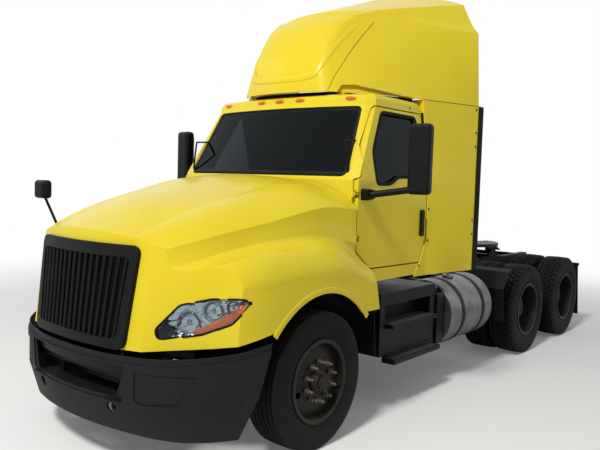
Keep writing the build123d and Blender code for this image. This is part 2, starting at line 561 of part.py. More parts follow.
DOOR = [(604, 1400), (604, 1962), (660, 2000), (748, 2250), (930, 2560), (960, 2583), (1670, 2583), (1700, 2555), (1712, 1962), (1710, 1455), (1612, 1240), (806, 1248)]
DOOR_HOLE = [(590, 1394), (590, 1970), (654, 2010), (739, 2256), (922, 2568), (955, 2594), (1676, 2594), (1713, 2560), (1725, 1962), (1723, 1450), (1620, 1228), (800, 1236)]
PANE = [(872, 1940), (1075, 1940), (1215, 2005), (1612, 2012), (1600, 2542), (1035, 2542), (850, 2205)]
SCREEN = [(-930, 1990), (930, 1990), (842, 2588), (-842, 2588)]
BACK_PANE = [(-480, 1950), (480, 1950), (480, 2420), (-480, 2420)]

cab_outer = cab_solid(0, CAB_FLOOR, ROOF_TOP_Z)
cab_inner = cab_solid(CAB_SKIN, CAB_FLOOR + 60, ROOF_EDGE_Z)
cab = cab_outer - cab_inner


def door_layer(depth, outline):
    """The part of a left door's outline within a depth of the cab's side, which leans in above the belt."""
    low_x, high_x = CAB_HALF_W - depth, CAB_TOP[5] - 31 - depth
    layer = front_prism([(low_x, 1100), (low_x, BELT_Z), (high_x, ROOF_EDGE_Z), (1200, ROOF_EDGE_Z), (1200, 1100)], 500, 1800)
    return layer & side_prism(outline, 700, 1200)


cab = cab - pair(door_layer(DOOR_T + 10, DOOR_HOLE))
cab -= front_prism(SCREEN, 0, 1150, 55)
cab -= front_prism(BACK_PANE, 1600, 1900, 40)
hinges = []
for side in (-1, 1):
    for hinge_z in (1500, 1850):
        ear = block(DOOR_HINGE_X - 10, DOOR_HINGE_X + 10, 575, DOOR_HINGE_Y + 10, hinge_z, hinge_z + 16)
        pin = rod((DOOR_HINGE_X, DOOR_HINGE_Y, hinge_z), (DOOR_HINGE_X, DOOR_HINGE_Y, hinge_z + 50), DOOR_PIN_R)
        leaf = block(DOOR_HINGE_X - 30, DOOR_HINGE_X - 2, 560, 592, hinge_z - 20, hinge_z + 40)
        hinges.append(ear + [pin, leaf] if side > 0 else mirrored(ear + [pin, leaf]))
cab = cab + hinges
put("cab_shell", cab)

screen = (cab_solid(14, 1900, ROOF_EDGE_Z) - cab_solid(21, 1890, ROOF_EDGE_Z + 10)) & block(-1000, 1000, 0, 1100, 1900, 2600)
windscreen = screen & front_prism([(px * (1 - GAP / 880), pz + (GAP if pz < 2100 else -GAP)) for px, pz in SCREEN], 0, 1150, 55)
rear_window = front_prism([(px - GAP * (1 if px > 0 else -1), pz + (GAP if pz < 2100 else -GAP)) for px, pz in BACK_PANE], CAB_BACK - 36, CAB_BACK - 30, 40)
put("cab_glass", windscreen, rear_window)

# doors: flush with the cab's skin
door = cab_outer & door_layer(DOOR_T, DOOR)
door -= side_prism(PANE, 700, 1200, 40)
for hinge_z in (1500, 1850):
    door -= block(DOOR_HINGE_X - 60, DOOR_HINGE_X + 40, 590, DOOR_HINGE_Y + 26, hinge_z - 26, hinge_z + 22)
    door -= rod((DOOR_HINGE_X, DOOR_HINGE_Y, hinge_z), (DOOR_HINGE_X, DOOR_HINGE_Y, hinge_z + 56), DOOR_PIN_R + GAP)
on_both_sides("door", door)
pane = (cab_solid(20, CAB_FLOOR, ROOF_EDGE_Z) - cab_solid(26, CAB_FLOOR - 10, ROOF_EDGE_Z + 10)) & side_prism(PANE, 700, 1200, 40)
shrunk = extrude(offset(Plane.YZ.offset(700) * fillet(make_face(Polyline(*PANE, close=True)).vertices(), 40), -GAP), 500)
on_both_sides("door_glass", pane & shrunk)

# door mirrors on their arms
MIRROR_X, MIRROR_Y = 1400.0, 915.0
mirror_head = Pos(MIRROR_X, MIRROR_Y, 2143) * Rot(0, 0, 8) * fillet(Box(186, 105, 560).edges(), 34)
mirror_arm = rod((1072, 700, 1850), (MIRROR_X - 30, MIRROR_Y - 10, 1905), 27)
mirror_foot = side_prism([(640, 1802), (640, 1898), (760, 1890), (760, 1820)], CAB_HALF_W + GAP, 1092, 20)
handle = side_prism([(1600, 1475), (1600, 1715), (1648, 1715), (1648, 1475)], CAB_HALF_W + GAP, CAB_HALF_W + 26, 20)
on_both_sides("door_fittings", mirror_head + [mirror_arm, mirror_foot], handle)

# ---------------------------------------------------------------- cab inside
FLOOR_Z = CAB_FLOOR + 60
inside = cab_solid(CAB_SKIN + GAP, FLOOR_Z + GAP, ROOF_EDGE_Z - GAP)
dash = side_prism([(300, 1500), (300, 1900), (690, 1935), (900, 1905), (965, 1800), (880, 1560)], -955, 955) & inside
WHEEL_X = 480.0
column = rod((WHEEL_X, 850, 1720), (WHEEL_X, 1005, 1819), 26)
wheel_plane = Plane(origin=(WHEEL_X, 1011, 1823), z_dir=(0, 180, 115))
ring = wheel_plane * (Torus(215, 15) + [Box(420, 30, 14), Cylinder(55, 30)])
put("dashboard", dash + [column, ring])
seats = []
for side in (-1, 1):
    x0, x1 = side * 490 - 240, side * 490 + 240
    base = block(x0 + 60, x1 - 60, 1180, 1560, FLOOR_Z + GAP, 1440)
    cushion = side_prism([(1130, 1420), (1130, 1520), (1190, 1550), (1600, 1520), (1600, 1420)], x0, x1)
    back_rest = side_prism([(1520, 1500), (1590, 2090), (1610, 2290), (1675, 2290), (1690, 1500)], x0 + 15, x1 - 15)
    seats.append(base + [cushion, back_rest])
put("seats", *seats)

# ---------------------------------------------------------------- roof fairing and side extenders
FAIRING_PLAN = (
    # z; left flank from the nose back: three points of its bow and the rear corner, each (x, y)
    (FAIRING_BASE, (240, 600), (715, 1200), (940, 1700), (EXT_REAR_X, EXT_REAR)),
    (3950, (20, 600), (247, 1200), (530, 1700), (1100, EXT_REAR)),
)
NOSE_BOW = 0.3e-3             # how fast the nose falls back from the centre line
NOSE_LINE = ((780, FAIRING_BASE - 60), (815, 2950), (920, 3215), (1080, 3420), (1330, 3550), (2700, 4030))   # (y, z)


def fairing_flanks(inset):
    """Everything between the two bowed flanks."""
    faces = []
    for z, a, b, c, d in FAIRING_PLAN:
        a, b, c, d = [(max(px - inset, 6), py) for px, py in (a, b, c, d)]
        left = [ThreePointArc(a, b, c), Line(c, d)]
        right = [ThreePointArc(*[(-px, py) for px, py in (c, b, a)]), Line((-d[0], d[1]), (-c[0], c[1]))]
        front, rear = Line((-a[0], a[1]), a), Line(d, (-d[0], d[1]))
        faces.append(Plane.XY.offset(z) * make_face(Wire([front, *left, rear, *reversed(right)])))
    return loft(faces, ruled=True)


def fairing_nose(inset):
    """Everything under the nose and roof line, which bows back and down away from the centre line."""
    faces = []
    for x in (-1200, -600, 0, 600, 1200):
        dy, dz = NOSE_BOW * x * x + inset, -1.2e-4 * x * x - inset
        p = [(py + dy, pz + (dz if pz > FAIRING_BASE else 0)) for py, pz in NOSE_LINE]
        front = [ThreePointArc(p[0], p[1], p[2]), ThreePointArc(p[2], p[3], p[4]), Line(p[4], p[5])]
        back = [Line(p[5], (p[5][0], p[0][1])), Line((p[5][0], p[0][1]), p[0])]
        faces.append(Plane.YZ.offset(x) * make_face(Wire(front + back)))
    return loft(faces)


def corner_form(form, radius):
    """What rounds the two edges between nose and flanks: a plan with bent corners at each height of those edges."""
    edge_points = []
    for edge in form.edges():
        if min(edge.bounding_box().size.Z, edge.bounding_box().size.Y) > 100 and edge.center().X > 150:
            edge_points += [edge @ t for t in (0, 0.33, 0.67, 1)]
    levels = {round(p.Z): p for p in edge_points if p.Y < EXT_REAR - 60}
    heights = sorted(levels)
    levels[heights[0] - 90], levels[4100] = levels[heights[0]], levels[heights[-1]] + (60, 300, 0)
    (base, a0, b0, _, _), (top, a1, b1, _, _) = FAIRING_PLAN
    faces = []
    for z in sorted(levels):
        k = (z - base) / (top - base)
        flank = Vector((b0[0] - a0[0]) * (1 - k) + (b1[0] - a1[0]) * k, 600).normalized()
        nose = Vector(1, 2 * NOSE_BOW * levels[z].X).normalized()
        x, y = levels[z].X, levels[z].Y
        half = nose.get_angle(flank) / 2
        run, cut = radius * tan(radians(half)), radius * (1 / cos(radians(half)) - 1)
        inward = (flank - nose).normalized() * cut
        start, end = (x - nose.X * run, y - nose.Y * run), (x + flank.X * run, y + flank.Y * run)
        far = (x + flank.X * 2600, y + flank.Y * 2600)
        bend = ThreePointArc(start, (x + inward.X, y + inward.Y), end)
        left = [Line((0, start[1] - start[0] * nose.Y / nose.X), start), bend, Line(end, far)]
        flat = make_face(Wire([*left, Line(far, (0, far[1])), Line((0, far[1]), (0, start[1] - start[0] * nose.Y / nose.X))]))
        faces.append(Plane.XY.offset(z) * flat)
    half_form = loft(faces, ruled=True)
    return half_form + mirrored(half_form)


def fairing_form(inset, nose_inset, radius):
    """The fairing's outer form, set in by a wall thickness, with the edges between nose and flanks rounded."""
    form = fairing_flanks(inset) & fairing_nose(nose_inset)
    return form & corner_form(form, radius)


fairing_outer = fairing_form(0, 0, FAIRING_ROUND)
fairing_inner = fairing_form(FAIRING_T, FAIRING_T + RECESS_DEEP, FAIRING_ROUND - 20)
fairing = fairing_outer - fairing_inner - Pos(0, 60, -60) * fairing_inner
# a shallow recess in the nose, which runs out where the roof line begins
recess_floor = Pos(0, RECESS_DEEP, RECESS_DEEP / 2) * fairing_nose(0)
fairing -= (fairing_nose(-40) - recess_floor) & front_prism([(-370, 2862), (370, 2862), (500, 3600), (-500, 3600)], 700, 1600, 110)
POCKET = [(935, FAIRING_BASE - 1), (985, 2790), (1090, 2802), (1640, FAIRING_BASE - 1)]
pocket = side_prism(POCKET, -1200, 1200)
pocket_back = (fairing_flanks(46) - fairing_flanks(56)) & side_prism([(py, pz + 8) for py, pz in POCKET], -1200, 1200)
fairing = fairing - pocket + [part for part in (pocket_back & fairing_nose(30)).solids()]
shelf = (fairing_flanks(4) - fairing_flanks(56)) & fairing_nose(30)
fairing = fairing + [part for part in (shelf & side_prism([(900, 2801), (900, 2809), (1690, 2809), (1690, 2801)], -1200, 1200)).solids()]
for y0 in (1010, 1600):       # two cross bars tie the flanks and stand on the roof
    bar = block(-1100, 1100, y0, y0 + 60, FAIRING_BASE, FAIRING_BASE + 20) & fairing_outer
    fairing += bar
    for side in (-1, 1):
        fairing += block(side * 520 - 40, side * 520 + 40, y0, y0 + 60, ROOF_TOP_Z + GAP, FAIRING_BASE + 10)
put("roof_fairing", fairing)

def strip(rows, thick):
    """A standing sheet: rows of z, front (x, y) and rear (x, y) of its outer face, ruled from row to row."""
    faces = []
    for z, x0, y0, x1, y1 in rows:
        faces.append(Plane.XY.offset(z) * make_face(Polyline((x0, y0), (x1, y1), (x1 - thick, y1), (x0 - thick, y0), close=True)))
    return loft(faces, ruled=True)


EXT_ROWS = (
    (EXT_BOTTOM, CAB_HALF_W + EXT_T + GAP, EXT_FRONT, EXT_REAR_X, EXT_REAR),
    (BELT_Z, CAB_HALF_W + EXT_T + GAP, EXT_FRONT, EXT_REAR_X, EXT_REAR),
    (EXT_TOP, 950, EXT_FRONT, EXT_REAR_X, EXT_REAR),
)
panel = strip(EXT_ROWS, EXT_T)
for stay_z in (1300, 1900, 2450):
    panel += block(940, 1130, CAB_BACK + GAP, CAB_BACK + 36, stay_z, stay_z + 30) - strip([(z, x0, y0, x1 + 300, y1 + 1000) for z, x0, y0, x1, y1 in EXT_ROWS], -300)
x_face = CAB_HALF_W + GAP
panel += block(x_face, x_face + EXT_T, 1480, EXT_FRONT + 1, EXT_BOTTOM, 1480)
cab_clear = cab_solid(-GAP, CAB_FLOOR, ROOF_TOP_Z)
panel += (strip(EXT_ROWS, 120) & block(800, 1100, EXT_FRONT, EXT_FRONT + EXT_T, 2604, EXT_TOP)) - cab_clear
panel -= side_prism([(1400, 1000), (1400, 1600), (EXT_FRONT, 1600), (EXT_FRONT, 1455), (1622, 1238), (1512, 1100)], 1000, 1200)
put("side_extenders", *pair(panel))
edge = block(EXT_REAR_X - 16, EXT_REAR_X + 8, EXT_REAR + GAP, RUBBER_REAR, EXT_BOTTOM - 10, EXT_TOP)
put("extender_edges", *pair(edge))

lamps = []
for lamp_x in (-730, -230, 0, 230, 730):
    y_front = 800 + 112 * (lamp_x / 868) ** 2
    lamps.append(Pos(lamp_x, y_front + 4, 2655) * Box(96, 30, 28))
put("marker_lamps", *[lamp - roof_solid(-GAP) for lamp in lamps])

# ---------------------------------------------------------------- chassis furniture
mounts = []
for side in (-1, 1):
    for mount_y in (720, 1640):
        mounts.append(block(side * 386 - 40, side * 386 + 40, mount_y - 45, mount_y + 45, RAIL_TOP + GAP, CAB_FLOOR - GAP))

tank = rod((TANK_X, TANK_FRONT, TANK_Z), (TANK_X, TANK_REAR, TANK_Z), TANK_R)
tank = fillet(tank.edges().filter_by(GeomType.CIRCLE), 24)
put("fuel_tanks", *pair(tank))
straps = []
for strap_y in (TANK_FRONT + 230, TANK_REAR - 230):
    saddle = block(RAIL_OUT_X + GAP, TANK_X - 100, strap_y - 32, strap_y + 32, 380, 960) & rod((TANK_X, strap_y - 40, TANK_Z), (TANK_X, strap_y + 40, TANK_Z), TANK_R + 90)
    hoop = rod((TANK_X, strap_y - 28, TANK_Z), (TANK_X, strap_y + 28, TANK_Z), TANK_R + 5)
    straps.append(hoop + saddle - rod((TANK_X, strap_y - 60, TANK_Z), (TANK_X, strap_y + 60, TANK_Z), TANK_R + GAP))
put("tank_straps", *pair(*straps))

STEP_OUT_X = 1130.0
steps = block(RAIL_OUT_X + GAP, 1040, 980, 1930, 470, 1010) - block(900, 1100, 1060, 1850, 700, 900)
steps += block(1030, STEP_OUT_X, 1090, 1910, 400, 440) + [block(1000, 1050, 1090, 1910, 400, 480), block(900, STEP_OUT_X - 30, 1100, 1880, 700, 735)]
put("cab_steps", *pair(steps))
put("fluid_tank", block(RAIL_OUT_X + GAP, 1060, 1960, 2095, 420, 900) + rod((960, 2030, 895), (960, 2030, 950), 45))

quarter = side_prism([(3420, 1035), (3345, 1005), (3200, 830), (3235, 480), (3241, 480), (3207, 829), (3350, 1001), (3424, 1030)], 585, 1195)
quarter += rod((RAIL_OUT_X + GAP, 3300, 930), (900, 3300, 930), 16)

HANGER_Y = 5835.0
hanger = rod((RAIL_OUT_X + GAP, HANGER_Y, 900), (1190, HANGER_Y, 900), 20) + block(RAIL_OUT_X + GAP, RAIL_OUT_X + 14, HANGER_Y - 50, HANGER_Y + 40, 850, 950)
flap = side_prism([(HANGER_Y - 5, 890), (HANGER_Y + 5, 890), (FLAP_REAR, 190), (FLAP_REAR - 10, 190)], 580, 1180)
put("mud_flaps", *pair(hanger + flap))
tail = block(-RAIL_OUT_X, RAIL_OUT_X, RAIL_REAR + GAP, RAIL_REAR + 12, 745, 960)
put("crossmembers", *crossmembers, *mounts, tail)
put("deck_plate", block(-RAIL_OUT_X, RAIL_OUT_X, 1800, 2420, RAIL_TOP + GAP, RAIL_TOP + 6))
put("tail_lamps", *[block(side * 230 - 80, side * 230 + 80, RAIL_REAR + 12 + GAP, RAIL_REAR + 50, 835, 925) for side in (-1, 1)])

guard = side_prism([(640, 1110), (700, 900), (735, 560), (741, 560), (706, 902), (648, 1112)], 470, 1160)
guard += block(RAIL_OUT_X + GAP, 480, 690, 720, 880, 960)
put("wheel_guards", *pair(guard, quarter))
air_tank = rod((230, 2420, 800), (230, 2860, 800), 100) + block(240, RAIL_OUT_X - RAIL_T - GAP, 2600, 2680, 780, 820)
put("air_tanks", *pair(air_tank))

# ---------------------------------------------------------------- fifth wheel
PLATE_T = 40.0
PIVOT_Z = FIFTH_TOP - 92.0
TRUNNION_R = 25.0
LOCK_R = 25.6
base_parts = []
for side in (-1, 1):
    foot = block(side * 387 - 43, side * 387 + 43, FIFTH_Y - 260, FIFTH_Y + 260, RAIL_TOP + GAP, RAIL_TOP + 18)
    ear = side_prism([(FIFTH_Y - 170, RAIL_TOP + 10), (FIFTH_Y - 52, PIVOT_Z + 26), (FIFTH_Y + 52, PIVOT_Z + 26), (FIFTH_Y + 170, RAIL_TOP + 10)], side * 419 - 11, side * 419 + 11)
    pin = rod((side * 345, FIFTH_Y, PIVOT_Z), (side * 428, FIFTH_Y, PIVOT_Z), TRUNNION_R)
    base_parts.append(foot + [ear, pin])
put("fifth_wheel_base", *base_parts)
plate = Pos(0, FIFTH_Y, FIFTH_TOP - PLATE_T / 2) * Cylinder(457, PLATE_T) & block(-470, 470, FIFTH_Y - 430, FIFTH_Y + 420, 1100, 1300)
ramps = side_prism([(FIFTH_Y + 200, FIFTH_TOP), (FIFTH_Y + 470, FIFTH_TOP - 110), (FIFTH_Y + 470, FIFTH_TOP - 125), (FIFTH_Y + 200, FIFTH_TOP - PLATE_T)], -330, 330)
plate = plate + ramps - plan_prism([(-33, FIFTH_Y + 48), (33, FIFTH_Y + 48), (60, FIFTH_Y + 120), (170, FIFTH_Y + 480), (-170, FIFTH_Y + 480), (-60, FIFTH_Y + 120)], 1000, 1300)
ribs = [block(-300, 300, FIFTH_Y - 240, FIFTH_Y - 224, FIFTH_TOP - 100, FIFTH_TOP - 20), block(-110, 110, FIFTH_Y - 120, FIFTH_Y + 45, FIFTH_TOP - 90, FIFTH_TOP - 20)]
for side in (-1, 1):
    ribs.append(block(side * 372 - 26, side * 372 + 26, FIFTH_Y - 70, FIFTH_Y + 70, PIVOT_Z, FIFTH_TOP - 20))
    ribs.append(rod((side * 346, FIFTH_Y, PIVOT_Z), (side * 398, FIFTH_Y, PIVOT_Z), 52))
plate = plate + ribs - rod((0, FIFTH_Y, 1050), (0, FIFTH_Y, 1300), LOCK_R)
plate -= rod((-500, FIFTH_Y, PIVOT_Z), (500, FIFTH_Y, PIVOT_Z), TRUNNION_R + GAP)
put("fifth_wheel_plate", plate)
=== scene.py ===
# %% [markdown]
# # A three-axle tractor unit, dressed around its CAD frame
# The solids come in as a fixed frame: every piece made below is in the same metres and rides on one of its
# bodies. Dressing an object must not change its size.

# %% Load the frame
import json
from math import cos, pi, radians, sin

import bmesh
import bpy
import numpy as np
from mathutils import Matrix


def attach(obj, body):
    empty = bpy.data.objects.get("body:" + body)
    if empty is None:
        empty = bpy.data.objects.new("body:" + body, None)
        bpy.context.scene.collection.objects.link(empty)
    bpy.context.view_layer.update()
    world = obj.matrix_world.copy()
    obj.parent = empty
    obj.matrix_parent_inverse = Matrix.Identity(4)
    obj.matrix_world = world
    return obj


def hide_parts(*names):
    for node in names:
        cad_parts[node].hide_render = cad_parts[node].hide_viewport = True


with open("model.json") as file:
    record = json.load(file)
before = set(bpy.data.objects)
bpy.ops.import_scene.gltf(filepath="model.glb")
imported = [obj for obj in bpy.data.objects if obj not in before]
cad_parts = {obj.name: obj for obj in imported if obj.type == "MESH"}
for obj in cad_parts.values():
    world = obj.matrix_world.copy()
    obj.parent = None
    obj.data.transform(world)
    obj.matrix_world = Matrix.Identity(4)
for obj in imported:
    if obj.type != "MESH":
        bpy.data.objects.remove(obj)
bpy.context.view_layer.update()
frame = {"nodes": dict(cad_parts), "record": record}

nodes = frame["nodes"]

# %% [markdown]
# ## Colours and nodes
# Paint charts and screens give colours in sRGB, but shaders work on linear light, so one function turns a hex
# code into linear values. A second small function adds a node, sets it up and links it, which keeps each
# recipe short.

# %% Colour and node helpers
MM = 0.001


def linear(code):
    """sRGB hex to linear RGBA: the low part is a straight line, the rest a power of 2.4."""
    parts = [int(code[i:i + 2], 16) / 255 for i in (1, 3, 5)]
    return [v / 12.92 if v <= 0.04045 else ((v + 0.055) / 1.055) ** 2.4 for v in parts] + [1.0]


def add(tree, kind, inputs=None, **settings):
    """Adds a shader node. settings are its properties, and inputs maps sockets to values or other sockets."""
    node = tree.nodes.new("ShaderNode" + kind)
    for name, value in settings.items():
        setattr(node, name, value)
    for key, value in (inputs or {}).items():
        if isinstance(value, bpy.types.NodeSocket):
            tree.links.new(value, node.inputs[key])
        else:
            node.inputs[key].default_value = value
    return node


def blank(name):
    """A new material and its node tree."""
    material = bpy.data.materials.new(name)
    material.use_nodes = True
    return material, material.node_tree


print("white is", [round(v, 3) for v in linear("#FFFFFF")])

# %% [markdown]
# ## The common recipe for a painted, moulded or cast skin
# Nearly every solid skin is the same few layers: a colour that drifts a little over decimetres, a fine grain
# that lifts the surface, a roughness that varies with both, and road dust that gathers low down and on what
# faces up. One recipe with real sizes in millimetres serves them all, and each finish below names what it is
# made of.

# %% The layered skin recipe
DUST = "#6E675B"


def skin(name, hue, drift, rough, grain_mm, lift_mm, patch_mm=350, dust=0.0, dust_top=1.1, wear=0.0,
         worn="#8A8C8C", **surface):
    """A layered finish: hue to drift is the colour range, dust is 0 to 1 at the ground, gone at dust_top."""
    material, tree = blank(name)
    shader = tree.nodes["Principled BSDF"]
    for key, value in surface.items():
        shader.inputs[key.replace("_", " ")].default_value = value
    place = add(tree, "TexCoord")
    patches = add(tree, "TexNoise", {"Vector": place.outputs["Object"], "Scale": 1 / (patch_mm * MM),
                                     "Detail": 4.0, "Roughness": 0.55})
    spread = add(tree, "MapRange", {"Value": patches.outputs["Fac"], "From Min": 0.35, "From Max": 0.65})
    colour = add(tree, "Mix", {"Factor": spread.outputs["Result"], "A": linear(hue), "B": linear(drift)},
                 data_type="RGBA")
    colour_out = colour.outputs["Result"]
    grain = add(tree, "TexNoise", {"Vector": place.outputs["Object"], "Scale": 1 / (grain_mm * MM),
                                   "Detail": 3.0})
    level = add(tree, "MapRange", {"Value": patches.outputs["Fac"], "From Min": 0.3, "From Max": 0.7,
                                   "To Min": rough[0], "To Max": rough[1]})
    rough_out = level.outputs["Result"]
    if dust:
        spot = add(tree, "SeparateXYZ", {"Vector": place.outputs["Object"]})
        facing = add(tree, "SeparateXYZ", {"Vector": place.outputs["Normal"]})
        low = add(tree, "MapRange", {"Value": spot.outputs["Z"], "From Min": dust_top, "From Max": 0.0},
                  interpolation_type="SMOOTHSTEP")
        up = add(tree, "MapRange", {"Value": facing.outputs["Z"], "From Min": 0.1, "From Max": 1.0,
                                    "To Max": 0.6})
        both = add(tree, "Math", {0: low.outputs["Result"], 1: up.outputs["Result"]}, operation="ADD")
        film = add(tree, "TexNoise", {"Vector": place.outputs["Object"], "Scale": 9.0, "Detail": 6.0,
                                      "Roughness": 0.7})
        broken = add(tree, "Math", {0: both.outputs[0], 1: film.outputs["Fac"]}, operation="MULTIPLY")
        amount = add(tree, "Math", {0: broken.outputs[0], 1: dust}, operation="MULTIPLY", use_clamp=True)
        dusty = add(tree, "Mix", {"Factor": amount.outputs[0], "A": colour_out, "B": linear(DUST)},
                    data_type="RGBA")
        colour_out = dusty.outputs["Result"]
        dull = add(tree, "Mix", {"Factor": amount.outputs[0], "A": rough_out, "B": 0.85})
        rough_out = dull.outputs["Result"]
    if wear:
        edge = add(tree, "Bevel", {"Radius": 6 * MM}, samples=4)
        flat = add(tree, "NewGeometry")
        turned = add(tree, "VectorMath", {0: edge.outputs["Normal"], 1: flat.outputs["Normal"]},
                     operation="DOT_PRODUCT")
        rub = add(tree, "TexNoise", {"Vector": place.outputs["Object"], "Scale": 60.0, "Detail": 4.0})
        raw = add(tree, "MapRange", {"Value": turned.outputs["Value"], "From Min": 0.985, "From Max": 0.80})
        patchy = add(tree, "Math", {0: raw.outputs["Result"], 1: rub.outputs["Fac"]}, operation="MULTIPLY")
        share = add(tree, "Math", {0: patchy.outputs[0], 1: wear}, operation="MULTIPLY", use_clamp=True)
        rubbed = add(tree, "Mix", {"Factor": share.outputs[0], "A": colour_out, "B": linear(worn)},
                     data_type="RGBA")
        colour_out = rubbed.outputs["Result"]
    lift = add(tree, "Bump", {"Height": grain.outputs["Fac"], "Distance": lift_mm * MM, "Strength": 1.0})
    tree.links.new(colour_out, shader.inputs["Base Color"])
    tree.links.new(rough_out, shader.inputs["Roughness"])
    tree.links.new(lift.outputs["Normal"], shader.inputs["Normal"])
    return material


# %% [markdown]
# ## Finishes, from the real materials
# Two-pack polyurethane gloss over steel and moulded panels, grained polypropylene for the bumper, satin
# moulded trim, flexible edging, oven-baked wheel enamel and the thin dusty enamel of a frame.

# %% Painted and moulded finishes
finishes = {}
# two-pack gloss enamel: deep colour under a clear skin, faint orange peel about 6 mm across
finishes["cab_paint"] = skin("two_pack_gloss_yellow", "#E3CD28", "#DCC522", (0.30, 0.36), 6, 0.03,
                             patch_mm=900, dust=0.10, dust_top=1.6, Coat_Weight=0.22, Coat_Roughness=0.05,
                             IOR=1.5, Specular_IOR_Level=0.15)
finishes["fairing_paint"] = skin("gloss_yellow_on_moulded_panels", "#E3CD28", "#DBC420", (0.30, 0.38), 8,
                                 0.04, patch_mm=1100, dust=0.10, dust_top=1.6, Coat_Weight=0.22,
                                 Coat_Roughness=0.06, IOR=1.5, Specular_IOR_Level=0.15)
# grained polypropylene: leather-like pits about 2 mm, drawn at 4 mm so that they show
finishes["bumper_plastic"] = skin("grained_polypropylene", "#101213", "#151718", (0.58, 0.72), 4, 0.10,
                                  dust=0.14, dust_top=0.6, wear=0.35, worn="#3A3E40", IOR=1.49,
                                  Specular_IOR_Level=0.2)
finishes["black_trim"] = skin("satin_moulded_abs", "#070808", "#0B0C0C", (0.42, 0.54), 3, 0.04, dust=0.08,
                              dust_top=1.0, IOR=1.5, Specular_IOR_Level=0.15)
finishes["edge_rubber"] = skin("extruded_epdm_rubber", "#0C0C0C", "#121212", (0.70, 0.82), 3, 0.05, dust=0.18,
                               dust_top=0.9, IOR=1.5, Specular_IOR_Level=0.12)
finishes["tyre"] = skin("worn_tyre_rubber", "#0C0B0A", "#11100F", (0.70, 0.84), 5, 0.15, patch_mm=120,
                        dust=0.10, dust_top=0.8, IOR=1.5, Specular_IOR_Level=0.15)
finishes["wheel_steel"] = skin("baked_grey_wheel_enamel", "#151312", "#1D1A18", (0.45, 0.62), 8, 0.10,
                               patch_mm=90, dust=0.14, dust_top=0.9, wear=0.3, worn="#5A554F", IOR=1.5,
                               Specular_IOR_Level=0.2)
finishes["chassis_black"] = skin("dusty_frame_enamel", "#0E0F10", "#151617", (0.50, 0.68), 10, 0.10,
                                 dust=0.20, dust_top=1.1, IOR=1.5, Specular_IOR_Level=0.15)
finishes["cast_black"] = skin("sand_cast_iron_under_enamel", "#111111", "#191817", (0.55, 0.72), 3, 0.30,
                              dust=0.25, dust_top=1.1, IOR=1.5, Specular_IOR_Level=0.15)
finishes["engine_iron"] = skin("engine_castings", "#26282A", "#303234", (0.50, 0.70), 4, 0.30, dust=0.35,
                               dust_top=1.4, IOR=1.5)
finishes["core_metal"] = skin("brazed_aluminium_core", "#3C3F42", "#4A4D50", (0.40, 0.55), 5, 0.20,
                              Metallic=0.8)
finishes["tank_aluminium"] = skin("weathered_sheet_aluminium", "#77787A", "#5C5D5E", (0.28, 0.42), 10, 0.06,
                                  patch_mm=180, dust=0.30, dust_top=1.0, Metallic=0.85)
finishes["cab_trim"] = skin("grained_cab_moulding", "#2A2C2E", "#323436", (0.60, 0.72), 3, 0.10, IOR=1.49,
                            Specular_IOR_Level=0.3)
finishes["seat_fabric"] = skin("woven_seat_cloth", "#1E2023", "#292B2F", (0.85, 0.95), 4, 0.30,
                               Sheen_Weight=0.3, Specular_IOR_Level=0.2)
finishes["greased_steel"] = skin("greased_plate_steel", "#1B1A18", "#33302C", (0.35, 0.60), 6, 0.20,
                                 patch_mm=80, dust=0.2, dust_top=1.6, Metallic=0.6)
print(len(finishes), "layered finishes")

# %% [markdown]
# ## Glass and lenses
# Laminated glass lets light through with a grey-green tint and mirrors a little of the sky. The windows of a
# cab are thin sheets, so a mix of a tinted see-through layer and a sharp gloss layer is cleaner than true
# refraction.

# %% Glass and lens finishes
GLOSS_ROUGH, SMEAR_MM = 0.02, 300


def sheet_glass(name, tint, sheen="#FFFFFF"):
    """A tinted see-through sheet under a sharp gloss whose share follows Fresnel's law, with faint smears."""
    material, tree = blank(name)
    tree.nodes.remove(tree.nodes["Principled BSDF"])
    place = add(tree, "TexCoord")
    smear = add(tree, "TexNoise", {"Vector": place.outputs["Object"], "Scale": 1 / (SMEAR_MM * MM),
                                   "Detail": 5.0})
    film = add(tree, "MapRange", {"Value": smear.outputs["Fac"], "From Min": 0.4, "From Max": 0.8,
                                  "To Min": GLOSS_ROUGH, "To Max": GLOSS_ROUGH + 0.06})
    through = add(tree, "BsdfTransparent", {"Color": linear(tint)})
    gloss = add(tree, "BsdfGlossy", {"Color": linear(sheen), "Roughness": film.outputs["Result"]})
    fresnel, facing = add(tree, "Fresnel", {"IOR": 1.5}), add(tree, "NewGeometry")
    front = add(tree, "Math", {0: 1.0, 1: facing.outputs["Backfacing"]}, operation="SUBTRACT")
    share = add(tree, "Math", {0: fresnel.outputs["Fac"], 1: front.outputs[0]}, operation="MULTIPLY")
    mixed = add(tree, "MixShader", {0: share.outputs[0], 1: through.outputs["BSDF"],
                                    2: gloss.outputs["BSDF"]})
    tree.links.new(mixed.outputs["Shader"], tree.nodes["Material Output"].inputs["Surface"])
    return material


finishes["glass"] = sheet_glass("tinted_laminated_glass", "#49524F", "#8F979A")
finishes["lamp_clear"] = sheet_glass("clear_polycarbonate_cover", "#E9EEF0")
# moulded acrylic lenses: saturated colour with a wet gloss
finishes["lamp_amber"] = skin("amber_acrylic_lens", "#EE6A02", "#DE5C02", (0.12, 0.18), 3, 0.05,
                              Coat_Weight=0.6, IOR=1.49, Subsurface_Weight=0.2)
finishes["lamp_red"] = skin("red_acrylic_lens", "#A30F0C", "#8E0B0A", (0.12, 0.20), 3, 0.05, Coat_Weight=0.6,
                            IOR=1.49)
